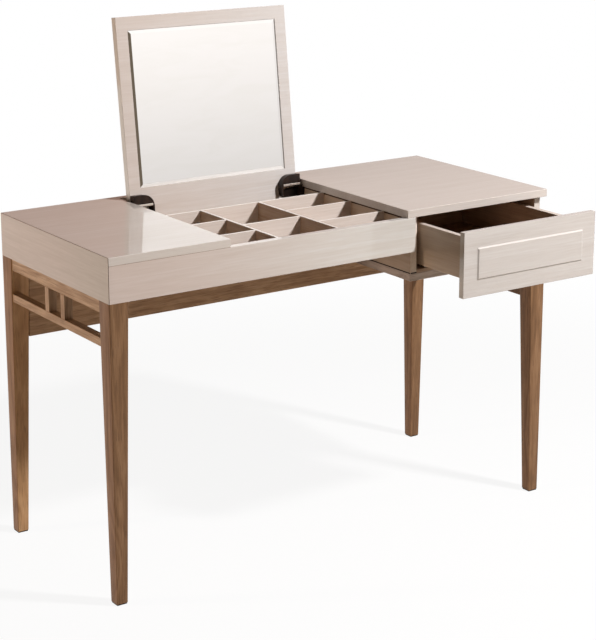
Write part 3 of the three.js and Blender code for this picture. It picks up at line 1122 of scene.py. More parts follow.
def tapered_leg_recipe() -> GeometryRecipe:
    """Tree for a leg whose width falls evenly to the foot while its outer corner stands upright.

    Returns:
        The recipe. The outer corner stands on the origin and the leg grows towards +x and +y.
    """
    recipe = GeometryRecipe(
        "tapered_leg",
        {
            "Foot Level": SocketKind.LENGTH,
            "Head Level": SocketKind.LENGTH,
            "Foot Width": SocketKind.LENGTH,
            "Full Width": SocketKind.LENGTH,
            "Full Height": SocketKind.LENGTH,
            "Corner Radius": SocketKind.LENGTH,
            "Finish": SocketKind.FINISH,
        },
    )
    pad, given = recipe.pad, recipe.given
    full = given("Full Width")
    square = square_outline(pad, full)
    rounded = pad.wire(
        "GeometryNodeFilletCurve",
        {"mode": "POLY"},
        {"Curve": square, "Count": CORNER_STEPS, "Radius": given("Corner Radius")},
    )
    corner = pad.wire(
        "ShaderNodeCombineXYZ", None, {"X": full * 0.5, "Y": full * 0.5, "Z": given("Foot Level")}
    )
    sheet = pad.wire("GeometryNodeFillCurve", {"mode": "NGONS"}, {"Curve": rounded})
    foot = pad.wire("GeometryNodeTransform", None, {"Geometry": sheet, "Translation": corner})
    rise = pad.wire(
        "ShaderNodeCombineXYZ", None, {"Z": given("Head Level") - given("Foot Level")}
    )
    risen = pad.wire(
        "GeometryNodeExtrudeMesh",
        {"mode": "FACES"},
        {"Mesh": foot, "Offset": rise, "Offset Scale": 1.0, "Individual": False},
    )
    sole = pad.wire("GeometryNodeFlipFaces", None, {"Mesh": foot})
    join = pad.node("GeometryNodeJoinGeometry")
    for part in (sole, risen):
        pad.tree.links.new(part.socket, join.inputs[0])
    closed = pad.wire(
        "GeometryNodeMergeByDistance",
        None,
        {"Geometry": Wire(pad, join.outputs[0]), "Distance": MERGE_DISTANCE},
    )
    x, y, z = pad.split(pad.wire("GeometryNodeInputPosition"))
    width = given("Foot Width") + (full - given("Foot Width")) * z / given("Full Height")
    share = width / full
    moved = pad.wire("ShaderNodeCombineXYZ", None, {"X": x * share, "Y": y * share, "Z": z})
    tapered = pad.wire("GeometryNodeSetPosition", None, {"Geometry": closed, "Position": moved})
    recipe.close(tapered, "Finish")
    return recipe


BOARD_SIZE = "board_size"


def boards_recipe() -> GeometryRecipe:
    """Tree that stands a board on each point, as large as the point's own size says.

    Returns:
        The recipe.
    """
    recipe = GeometryRecipe("boards_on_points", {"Finish": SocketKind.FINISH})
    pad = recipe.pad
    block = pad.wire("GeometryNodeMeshCube", None, {"Size": (1.0, 1.0, 1.0)})
    size = pad.wire("GeometryNodeInputNamedAttribute", {"data_type": "FLOAT_VECTOR"}, {"Name": BOARD_SIZE})
    boards = pad.wire(
        "GeometryNodeInstanceOnPoints",
        None,
        {"Points": recipe.given("Geometry"), "Instance": block, "Scale": size},
    )
    recipe.close(boards, "Finish")
    return recipe


def row_recipe() -> GeometryRecipe:
    """Tree that repeats its base mesh in a straight row.

    Returns:
        The recipe.
    """
    recipe = GeometryRecipe(
        "even_row",
        {
            "Count": SocketKind.COUNT,
            "First": SocketKind.OFFSET,
            "Step": SocketKind.OFFSET,
            "Finish": SocketKind.FINISH,
        },
    )
    pad, given = recipe.pad, recipe.given
    line = pad.wire(
        "GeometryNodeMeshLine",
        {"mode": "OFFSET"},
        {"Count": given("Count"), "Start Location": given("First"), "Offset": given("Step")},
    )
    single = pad.wire("GeometryNodeGeometryToInstance", None, {0: given("Geometry")})
    row = pad.wire("GeometryNodeInstanceOnPoints", None, {"Points": line, "Instance": single})
    recipe.close(row, "Finish")
    return recipe


def line_recipe() -> GeometryRecipe:
    """Tree that lays a square strip along each edge of its base mesh.

    Returns:
        The recipe.
    """
    recipe = GeometryRecipe("strip_on_path", {"Width": SocketKind.LENGTH, "Finish": SocketKind.FINISH})
    pad, given = recipe.pad, recipe.given
    path = pad.wire("GeometryNodeMeshToCurve", None, {"Mesh": given("Geometry")})
    square = square_outline(pad, given("Width"))
    strip = pad.wire(
        "GeometryNodeCurveToMesh", None, {"Curve": path, "Profile Curve": square, "Fill Caps": True}
    )
    recipe.close(strip, "Finish")
    return recipe


@dataclass
class Recipes:
    """The geometry trees that several sub-assemblies share."""

    leg: GeometryRecipe = field(default_factory=tapered_leg_recipe)
    boards: GeometryRecipe = field(default_factory=boards_recipe)
    row: GeometryRecipe = field(default_factory=row_recipe)
    line: GeometryRecipe = field(default_factory=line_recipe)

    def boards_for(self, nodes: Sequence[str], material: bpy.types.Material) -> bpy.types.Mesh:
        """Boards in the places of several CAD boards, as one mesh.

        Args:
            nodes: The CAD boards.
            material: Their finish.

        Returns:
            The mesh.
        """
        guide = bpy.data.meshes.new("board_guide")
        boxes = [limits(node) for node in nodes]
        guide.from_pydata([tuple((low + high) / 2) for low, high in boxes], [], [])
        sizes = guide.attributes.new(BOARD_SIZE, "FLOAT_VECTOR", "POINT")
        for item, (low, high) in zip(sizes.data, boxes):
            item.vector = high - low
        return self.boards.bake(guide, {"Finish": material})

    def strips(
        self, name: str, lines: Sequence[Tuple[Point, Point]], width: float, material: bpy.types.Material
    ) -> bpy.types.Mesh:
        """Thin square strips along straight lines, as one mesh.

        Args:
            name: Name of the mesh.
            lines: Start and end of each strip's middle line.
            width: Width of the strips.
            material: Their finish.

        Returns:
            The mesh.
        """
        path = bpy.data.meshes.new(name)
        corners = [corner for line in lines for corner in line]
        path.from_pydata(corners, [(2 * k, 2 * k + 1) for k in range(len(lines))], [])
        return self.line.bake(path, {"Width": width, "Finish": material})


# ---------------------------------------------------------------------------------------------------
# Small fittings
# ---------------------------------------------------------------------------------------------------


@dataclass(frozen=True)
class ScrewHead:
    """Countersunk screw head with a cross recess, lying with its face towards +z."""

    radius: float = 3.2 * MM
    crown: float = 0.35 * MM
    rim_share: float = 0.8
    slot_half_width: float = 0.45 * MM
    slot_length: float = 1.9 * MM
    slot_depth: float = 0.6 * MM
    slot_taper: float = 0.8
    sides: int = 24

    def mesh(self, turn_to_face: Matrix) -> bpy.types.Mesh:
        """Builds the head.

        Args:
            turn_to_face: Rotation from +z to the way that the head faces.

        Returns:
            The mesh, its rim's centre on the origin.
        """
        shape = bmesh.new()
        w, s = self.slot_half_width, self.slot_length
        cross = [
            (w, w), (s, w), (s, -w), (w, -w), (w, -s), (-w, -s),
            (-w, -w), (-s, -w), (-s, w), (-w, w), (-w, s), (w, s),
        ]
        turns = [2 * math.pi * k / self.sides for k in range(self.sides)]
        base, rim = (
            [shape.verts.new((radius * math.cos(turn), radius * math.sin(turn), level)) for turn in turns]
            for radius, level in ((self.radius, 0.0), (self.radius * self.rim_share, self.crown))
        )
        for (a, b), (c, d) in zip(loop(base), loop(rim)):
            shape.faces.new((a, b, d, c))
        shape.faces.new(list(reversed(base)))
        upper = [shape.verts.new((x, y, self.crown)) for x, y in cross]
        share, floor = self.slot_taper, self.crown - self.slot_depth
        lower = [shape.verts.new((x * share, y * share, floor)) for x, y in cross]
        rim_edges = [shape.edges.get(pair) for pair in loop(rim)]
        cross_edges = [shape.edges.new(pair) for pair in loop(upper)]
        bmesh.ops.triangle_fill(shape, use_beauty=True, edges=rim_edges + cross_edges, normal=(0, 0, 1))
        for (a, b), (c, d) in zip(loop(upper), loop(lower)):
            shape.faces.new((b, a, c, d))
        shape.faces.new(list(reversed(lower)))
        bmesh.ops.recalc_face_normals(shape, faces=shape.faces)
        bmesh.ops.transform(shape, matrix=turn_to_face, verts=shape.verts)
        return plain_mesh(shape, "screw_head")


# ---------------------------------------------------------------------------------------------------
# Sub-assemblies
# ---------------------------------------------------------------------------------------------------


@dataclass
class SubAssembly:
    """A group of pieces that are built together."""

    shop: Workshop
    recipes: Recipes

    def build(self) -> None:
        """Builds the group's pieces and hangs them."""
        raise NotImplementedError


@dataclass
class Legs(SubAssembly):
    """Four tapered walnut legs, each on a thin glide."""

    foot_width: float = 26 * MM
    full_width: float = 45 * MM
    full_height: float = 662 * MM
    corner_radius: float = 2.0 * MM
    end_ease: float = 0.3 * MM
    glide_ease: float = 0.5 * MM
    painted_light_corner: str = "left_back"
    corners: Sequence[str] = ("left_front", "right_front", "right_back", "left_back")

    def build(self) -> None:
        """Builds the legs and their glides."""
        for number, corner in enumerate(self.corners):
            node = f"leg_{corner}"
            material = WALNUT.material(Grain.ALONG_Z, number)
            mesh = self._leg(node, number, material)
            face_finishes = []
            # The left back leg's front face gets the lighter walnut: painted light.
            if corner == self.painted_light_corner:
                line_faces(mesh, (0, -1, 0))
                face_finishes.append(PAINTED_LIGHT_WALNUT.material(Grain.ALONG_Z, number))
            self.shop.hang(
                f"{node}_finished", mesh, [node], "walnut", face_finishes, self.end_ease, sharp=EASE_ANGLE
            )
            glide = GLIDE_RUBBER.material(Grain.ALONG_Z, number)
            self.shop.ease_node(f"glide_{corner}", "glide", glide, self.glide_ease)

    def _leg(self, node: str, turn: int, material: bpy.types.Material) -> bpy.types.Mesh:
        """Runs the leg recipe and stands the leg in its corner.

        Args:
            node: CAD node of the leg.
            turn: Quarter turns from the left front corner.
            material: The leg's walnut.

        Returns:
            The leg's mesh in place.
        """
        low, high = limits(node)
        mesh = self.recipes.leg.bake(
            bpy.data.meshes.new(node),
            {
                "Foot Level": low.z,
                "Head Level": high.z,
                "Foot Width": self.foot_width,
                "Full Width": self.full_width,
                "Full Height": self.full_height,
                "Corner Radius": self.corner_radius,
                "Finish": material,
            },
        )
        corner = Vector((high.x if turn in (1, 2) else low.x, high.y if turn in (2, 3) else low.y, 0))
        mesh.transform(Matrix.Translation(corner) @ Matrix.Rotation(turn * math.pi / 2, 4, "Z"))
        return mesh


@dataclass
class RailsAndLattices(SubAssembly):
    """A lattice of two rails and two bars at each end, and the wide back rail."""

    rail_ease: float = 1.2 * MM
    bar_ease: float = 1.0 * MM
    first_rail_board: int = 4
    first_bar_board: int = 8
    back_rail_board: int = 10
    # The left lattice gets a lighter walnut than the right one: painted light.
    sides: Sequence[Tuple[str, Walnut]] = (("left", LEFT_LATTICE_PAINTED_LIGHT_WALNUT), ("right", WALNUT))

    def build(self) -> None:
        """Builds the lattices and the back rail."""
        for number, (side, walnut) in enumerate(self.sides):
            for step, level in enumerate(("upper", "lower")):
                material = walnut.material(Grain.ALONG_Y, self.first_rail_board + 2 * number + step)
                self.shop.ease_node(f"{side}_{level}_rail", "walnut", material, self.rail_ease)
            bars = [f"{side}_bar_front", f"{side}_bar_back"]
            upright = walnut.material(Grain.ALONG_Z, self.first_bar_board + number)
            mesh = self.recipes.boards_for(bars, upright)
            self.shop.hang(f"{side}_bars_finished", mesh, bars, "walnut", ease=self.bar_ease)
        # The back rail gets a lighter walnut: painted light.
        back = BACK_RAIL_PAINTED_LIGHT_WALNUT.material(Grain.ALONG_X, self.back_rail_board)
        self.shop.ease_node("back_rail", "walnut", back, self.rail_ease)


@dataclass
class Carcass(SubAssembly):
    """Lacquered left end, left top, apron and back, and the satin boards inside."""

    arris: float = 0.8 * MM
    inner_ease: float = 0.8 * MM
    dark_line_width: float = 1.8 * MM
    seam_width: float = 1.0 * MM
    joint_sink: float = 0.15 * MM
    outer_boards: Sequence[Tuple[str, Grain, Lacquer]] = (
        # The end panel's lacquer is darker and darkens towards the front: painted shade.
        ("left_end_panel", Grain.ALONG_Y, END_PAINTED_SHADE_LACQUER),
        ("left_top", Grain.ALONG_X, GLOSS_LACQUER),
        # The apron's lacquer paints the light's falloff towards the left.
        ("front_apron", Grain.ALONG_X, APRON_PAINTED_LIGHT_LACQUER),
        ("carcass_back", Grain.ALONG_X, GLOSS_LACQUER),
    )
    rebate_depth: float = 4 * MM
    rebate_height: float = 4.8 * MM
    rebate_line: float = 2.4 * MM
    rebate_drop: float = 3.4 * MM
    walls: Sequence[Tuple[str, int]] = (("carcass_left_wall", 1), ("carcass_right_wall", -1))
    first_wall_board: int = 1

    def build(self) -> None:
        """Builds the carcass boards, the dark lines of their joints and a strip of painted shade in each
        wall's rebate.
        """
        for number, (node, grain, lacquer) in enumerate(self.outer_boards):
            self.shop.ease_node(node, "lacquer", lacquer.material(grain, number), self.arris)
        floor = SATIN_LACQUER.material(Grain.ALONG_X, 0)
        self.shop.ease_node("carcass_floor", "inner_lacquer", floor, self.inner_ease)
        for number, (node, side) in enumerate(self.walls):
            # The walls' faces towards the bay get a browner finish: painted shade.
            mesh = rebated_board(node, side, self.rebate_depth, self.rebate_height)
            line_faces(mesh, (side, 0, 0))
            materials = [
                SATIN_LACQUER.material(Grain.ALONG_Y, self.first_wall_board + number),
                BAY_PAINTED_SHADE.material(Grain.ALONG_Y, number),
            ]
            self.shop.hang(f"{node}_finished", mesh, [node], "inner_lacquer", materials, self.inner_ease / 2)
        self._joint_and_shade_lines()

    def _joint_and_shade_lines(self) -> None:
        """Fills the mitres round the left end and the seam under the left top, and lays a strip of painted
        shade in each wall's rebate.
        """
        low, high = limits("left_end_panel")
        seam_end, seam_level = limits("left_top")[1].x, limits("left_top")[0].z
        far, near = self.joint_sink + self.dark_line_width / 2, self.joint_sink + self.seam_width / 2
        rebates = [self._rebate_line(*wall) for wall in self.walls]
        strokes = {
            "mitre_lines": (MITRE_FILLER, self.dark_line_width, [
                ((low.x + far, low.y + far, high.z - far), (low.x + far, high.y - far, high.z - far)),
                ((low.x + far, low.y + far, low.z), (low.x + far, low.y + far, high.z - far)),
            ]),
            "seam_line": (SEAM_FILLER, self.seam_width, [
                ((low.x + near, low.y + near, seam_level), (seam_end, low.y + near, seam_level)),
            ]),
            "rebate_lines": (REBATE_PAINTED_SHADE, self.rebate_line, rebates),
        }
        for name, (filler, width, lines) in strokes.items():
            mesh = self.recipes.strips(name, lines, width, filler.material(Grain.ALONG_X, 0))
            self.shop.hang(name, mesh, [], "walnut", body=frame["nodes"]["left_top"]["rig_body"])

    def _rebate_line(self, node: str, side: int) -> Tuple[Point, Point]:
        """Middle line of the dark strip of painted shade in the rebate of a wall.

        Args:
            node: CAD node of the wall.
            side: 1 where the rebate is on the +x side, else -1.

        Returns:
            The line's start and end.
        """
        low, high = limits(node)
        x = (high.x if side > 0 else low.x) - side * self.rebate_line / 2
        z = high.z - self.rebate_drop
        return (x, low.y, z), (x, high.y, z)


@dataclass
class Tray(SubAssembly):
    """Thin dividers that make eight open cells under the lid."""

    divider_ease: float = 0.4 * MM
    cross_board: int = 4
    long_board: int = 5
    long_dividers: Sequence[str] = ("tray_long_divider_1", "tray_long_divider_2")
    cross_dividers: Sequence[str] = (
        "tray_cross_divider_1_1",
        "tray_cross_divider_1_2",
        "tray_cross_divider_2_1",
        "tray_cross_divider_3_1",
        "tray_cross_divider_3_2",
    )

    def build(self) -> None:
        """Builds the tray's back and dividers."""
        across = SATIN_LACQUER.material(Grain.ALONG_X, self.cross_board)
        # The tops and eased edges of the back and dividers get near-white lacquer: painted highlight.
        edge = PAINTED_HIGHLIGHT_LACQUER.material(Grain.ALONG_X, 0)
        self.shop.ease_node(
            "tray_back", "inner_lacquer", across, self.divider_ease, face_finishes=[(edge, [UP])], trim=1
        )
        # The long dividers' sides are dark brown: painted shade of the cells.
        along = DIVIDER_PAINTED_SHADE.material(Grain.ALONG_Y, self.long_board)
        long_edge = PAINTED_HIGHLIGHT_LACQUER.material(Grain.ALONG_Y, 1)
        for name, nodes, sides, highlight_top in (
            ("long", self.long_dividers, along, long_edge),
            ("cross", self.cross_dividers, across, edge),
        ):
            mesh = self.recipes.boards_for(nodes, sides)
            line_faces(mesh, UP)
            self.shop.hang(
                f"tray_{name}_dividers", mesh, nodes, "inner_lacquer", [highlight_top], self.divider_ease, trim=1
            )


@dataclass
class MirrorLid(SubAssembly):
    """The lid's panel and the bevelled mirror in its pocket."""

    panel_ease: float = 1.0 * MM
    bevel_limits: Tuple[float, float] = (0.9, 0.9999)
    upright_limit: float = 0.01
    board: int = 6

    def build(self) -> None:
        """Builds the lid."""
        # The lid's face lacquer paints the light's falloff across the lid.
        face_lacquer = LID_PAINTED_LIGHT_LACQUER.material(Grain.ALONG_X, self.board)
        # Its side faces get the cooler lacquer: painted light against the warm left lamp.
        side_lacquer = LID_SIDE_PAINTED_LIGHT_LACQUER.material(Grain.ALONG_Z, self.board)
        sides = [(side_lacquer, [(-1, 0, 0), (1, 0, 0)])]
        self.shop.ease_node("lid_panel", "lacquer", face_lacquer, self.panel_ease, face_finishes=sides)
        mesh = clean_copy("mirror_glass")
        face = max(mesh.polygons, key=lambda polygon: -polygon.normal.y * polygon.area)
        # The lower bevel gets the near-white finish: painted highlight.
        for polygon in mesh.polygons:
            bevel = polygon.normal.dot(face.normal)
            low = polygon.normal.z < face.normal.z and abs(polygon.normal.x) < self.upright_limit
            if low and self.bevel_limits[0] < bevel < self.bevel_limits[1]:
                polygon.material_index = 1
        materials = [SILVER.material(Grain.ALONG_X, 0), BEVEL_PAINTED_HIGHLIGHT.material(Grain.ALONG_X, 0)]
        glass = self.shop.hang("mirror_glass_finished", mesh, ["mirror_glass"], "mirror", materials)
        glass.data.shade_flat()


@dataclass
class LidHinges(SubAssembly):
    """Black hinge leaves on the lid, brackets on the bay's walls and bright pins."""

    leaf_ease: float = 1.2 * MM
    bracket_ease: float = 0.8 * MM
    pin_ease: float = 0.5 * MM
    screw: ScrewHead = ScrewHead(radius=2.8 * MM)
    screw_drop: float = 22 * MM
    screw_spacing: float = 22 * MM
    screw_count: int = 2
    screw_board: int = 4
    lid_turn: float = math.radians(97.0)
    hood_face: float = 18 * MM
    recess_depth: float = 10 * MM
    bar_inset: float = 4.2 * MM
    bar_margin: float = 0.6 * MM
    bar_edges: Tuple[float, float] = (-8.8 * MM, -3.9 * MM)
    bar_proud: float = 0.9 * MM
    bar_depth: float = 6 * MM

    def build(self) -> None:
        """Builds both hinges."""
        for number, (side, face) in enumerate((("left", 1), ("right", -1))):
            black = HINGE_BLACK.material(Grain.ALONG_X, number)
            steel = STEEL.material(Grain.ALONG_X, number)
            self._leaf(side, black)
            self._bar(side, face)
            self.shop.ease_node(f"lid_hinge_bracket_{side}", "hinge_black", black, self.bracket_ease)
            self.shop.ease_node(
                f"lid_hinge_pin_{side}", "steel", steel, self.pin_ease, face_finishes=[(black, [(face, 0, 0)])]
            )
            self._screws(side, face)

    def _lid_place(self, side: str) -> Matrix:
        """Place of the closed lid's frame, with its origin on the pin's axis, in the open lid.

        Args:
            side: Side of the hinge.

        Returns:
            The place as a matrix.
        """
        low, high = limits(f"lid_hinge_pin_{side}")
        axis = Vector((0, (low.y + high.y) / 2, (low.z + high.z) / 2))
        return Matrix.Translation(axis) @ Matrix.Rotation(-self.lid_turn, 4, "X")

    def _leaf(self, side: str, black: bpy.types.Material) -> None:
        """Finishes a leaf, with near black on its deep faces behind the pin as painted shade.

        Args:
            side: Side of the hinge.
            black: The hinge's finish.
        """
        node = f"lid_hinge_leaf_{side}"
        mesh = clean_copy(node)
        inward = self._lid_place(side).inverted()
        for face in mesh.polygons:
            deep = (inward @ face.center).z > self.recess_depth - self.hood_face
            if deep and (inward.to_3x3() @ face.normal).z < -FACING:
                face.material_index = 1
        materials = [black, PAINTED_SHADE_BLACK.material(Grain.ALONG_X, 0)]
        self.shop.hang(f"{node}_finished", mesh, [node], "hinge_black", materials, self.leaf_ease)

    def _bar(self, side: str, face: int) -> None:
        """Sets a bright bar along the lower edge of a hood.

        Args:
            side: Side of the hinge.
            face: 1 where the hood's inner end looks to +x, else -1.
        """
        node = f"lid_hinge_leaf_{side}"
        low, high = limits(node)
        ends = (low.x + self.bar_margin, high.x - self.bar_inset)
        if face < 0:
            ends = (low.x + self.bar_inset, high.x - self.bar_margin)
        upper, lower = self.bar_edges
        front = -self.hood_face - self.bar_proud
        back = front + self.bar_depth
        outline = [(upper, front), (lower, front), (lower, back), (upper, back)]
        mesh = prism(f"lid_hinge_bar_{side}", *([(x, y, z) for y, z in outline] for x in ends))
        mesh.transform(self._lid_place(side))
        self.shop.hang(
            f"lid_hinge_bar_{side}", mesh, [], "steel", [BAR_STEEL.material(Grain.ALONG_X, 0)],
            self.pin_ease, body=frame["nodes"][node]["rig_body"],
        )

    def _screws(self, side: str, face: int) -> None:
        """Puts a row of screws on a bracket's open face.

        Args:
            side: Side of the hinge.
            face: 1 where the bracket's open face looks to +x, else -1.
        """
        bracket = f"lid_hinge_bracket_{side}"
        low, high = limits(bracket)
        x = high.x if face > 0 else low.x
        middle = (low.y + high.y) / 2
        first = Vector((x, middle - self.screw_spacing / 2, high.z - self.screw_drop))
        turn = Matrix.Rotation(face * math.pi / 2, 4, "Y")
        mesh = self.recipes.row.bake(
            self.screw.mesh(turn),
            {
                "Count": self.screw_count,
                "First": first,
                "Step": Vector((0, self.screw_spacing, 0)),
                "Finish": STEEL.material(Grain.ALONG_Y, self.screw_board),
            },
        )
        carrier = frame["nodes"][bracket]["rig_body"]
        self.shop.hang(f"lid_hinge_screws_{side}", mesh, [], "steel", body=carrier)


@dataclass
class DrawerBox(SubAssembly):
    """Right top, the box under it and the flat frame that carries the box."""

    arris: float = 1.1 * MM
    frame_ease: float = 1.2 * MM
    dark_line_width: float = 2.6 * MM
    shadow_line_proud: float = 0.3 * MM
    first_board: int = 8
    first_face_finish: int = 2
    first_rail: int = 12
    boards: Sequence[Tuple[str, Grain, Sequence[Tuple[Lacquer, Sequence[Point]]]]] = (
        ("right_top", Grain.ALONG_X, [(DARK_INNER_LACQUER, [(0, 0, -1)])]),
        # Box's left wall: inner face browner and outer face darker (painted shade), front edge paler (painted
        # light).
        (
            "box_left_wall",
            Grain.ALONG_Y,
            [(BAY_PAINTED_SHADE, [(1, 0, 0)]), (BOX_EDGE_PAINTED_LIGHT, [(0, -1, 0)]), (BOX_SIDE_PAINTED_SHADE, [(-1, 0, 0)])],
        ),
        ("box_right_wall", Grain.ALONG_Y, [(DARK_INNER_LACQUER, [(-1, 0, 0)])]),
        ("box_back", Grain.ALONG_X, [(DARK_INNER_LACQUER, [(0, -1, 0)])]),
        ("box_floor", Grain.ALONG_X, [(DARK_INNER_LACQUER, [(0, 0, 1), (0, -1, 0)])]),
    )
    frame_rails: Sequence[Tuple[str, Grain, Walnut]] = (
        # The front rail gets the pale walnut: painted light.
        ("frame_front_rail", Grain.ALONG_X, FRAME_FRONT_PAINTED_LIGHT_WALNUT),
        ("frame_back_rail", Grain.ALONG_X, WALNUT),
        # The left rail gets the paler walnut: painted light.
        ("frame_left_rail", Grain.ALONG_Y, FRAME_PAINTED_LIGHT_WALNUT),
        ("frame_right_rail", Grain.ALONG_Y, WALNUT),
    )

    def build(self) -> None:
        """Builds the box, its frame and a strip of painted shadow between them."""
        for number, (node, grain, extra_lacquers) in enumerate(self.boards):
            lacquer = GLOSS_LACQUER.material(grain, self.first_board + number)
            face_finishes = [(extra_lacquer.material(grain, self.first_face_finish + number), looks) for extra_lacquer, looks in extra_lacquers]
            self.shop.ease_node(node, "lacquer", lacquer, self.arris, face_finishes=face_finishes)
        # A near-black strip along the box's foot on the frame: painted shadow line.
        low, high = limits("box_left_wall")
        reach = self.dark_line_width / 2 - self.shadow_line_proud
        x, y, z = low.x + reach, low.y + reach, low.z + self.dark_line_width / 2
        lines = [((x, y, z), (x, high.y, z)), ((x, y, z), (high.x, y, z))]
        black = PAINTED_SHADE_BLACK.material(Grain.ALONG_Y, 1)
        mesh = self.recipes.strips("box_joint_lines", lines, self.dark_line_width, black)
        carrier = frame["nodes"]["box_left_wall"]["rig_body"]
        self.shop.hang("box_joint_lines", mesh, [], "walnut", body=carrier)
        for number, (node, grain, walnut) in enumerate(self.frame_rails):
            outer, right, left = (
                wood.material(grain, self.first_rail + number) for wood in (walnut, WALNUT, FRAME_PAINTED_LIGHT_WALNUT)
            )
            # Each rail's left face gets the paler walnut: painted light.
            sides = [(right, [(1, 0, 0)]), (left, [(-1, 0, 0)])]
            self.shop.ease_node(node, "walnut", outer, self.frame_ease, face_finishes=sides)


@dataclass
class Drawer(SubAssembly):
    """Drawer with a raised field on its front."""

    front_ease: float = 1.0 * MM
    side_ease: float = 1.2 * MM
    front_board: int = 13
    front_face_finish: int = 5
    first_board: int = 14
    first_face_finish: int = 6
    boards: Sequence[Tuple[str, Grain, Sequence[Point]]] = (
        ("drawer_left_side", Grain.ALONG_Y, [(1, 0, 0)]),
        ("drawer_right_side", Grain.ALONG_Y, [(-1, 0, 0)]),
        ("drawer_back", Grain.ALONG_X, [(0, -1, 0)]),
        ("drawer_floor", Grain.ALONG_X, [UP]),
    )

    def build(self) -> None:
        """Builds the drawer."""
        # The front's lacquer is darker than the gloss lacquer: painted shade.
        face = FRONT_PAINTED_SHADE_LACQUER.material(Grain.ALONG_X, self.front_board)
        face_finish = DARK_INNER_LACQUER.material(Grain.ALONG_X, self.front_face_finish)
        self.shop.ease_node("drawer_front", "lacquer", face, self.front_ease, face_finishes=[(face_finish, [(0, 1, 0)])])
        for number, (node, grain, looks) in enumerate(self.boards):
            lacquer = SIDE_LACQUER.material(grain, self.first_board + number)
            face_finishes = [(DARK_INNER_LACQUER.material(grain, self.first_face_finish + number), looks)]
            # The tops of the sides and back get the paler satin lacquer: a painted highlight along their top
            # edges.
            if UP not in looks:
                face_finishes.append((SATIN_LACQUER.material(grain, self.first_face_finish + number), [UP]))
            self.shop.ease_node(node, "drawer_wood", lacquer, self.side_ease, face_finishes=face_finishes)


@dataclass
class Runners(SubAssembly):
    """Telescopic steel runners under the drawer."""

    ease: float = 0.4 * MM
    sides: Sequence[str] = ("left", "right")
    parts: Sequence[str] = ("channel", "bar", "cap")

    def build(self) -> None:
        """Builds both runners."""
        for number, side in enumerate(self.sides):
            for part in self.parts:
                steel = STEEL.material(Grain.ALONG_Y, number)
                self.shop.ease_node(f"runner_{part}_{side}", "steel", steel, self.ease)


# ---------------------------------------------------------------------------------------------------
# Studio and camera
# ---------------------------------------------------------------------------------------------------


@dataclass(frozen=True)
class Lamp:
    """A soft square lamp that looks at one point and shows in no gloss."""

    name: str
    place: Point
    target: Point
    size: float
    watts: float
    colour: Point

    def hang(self) -> None:
        """Puts the lamp in the scene."""
        data = bpy.data.lights.new(self.name, "AREA")
        data.shape = "SQUARE"
        data.size = self.size
        data.energy = self.watts
        data.color = self.colour
        lamp = placed(self.name, data)
        lamp.visible_camera = False
        lamp.visible_glossy = False
        lamp.location = self.place
        aim = Vector(self.target) - Vector(self.place)
        lamp.rotation_euler = aim.to_track_quat("-Z", "Y").to_euler()


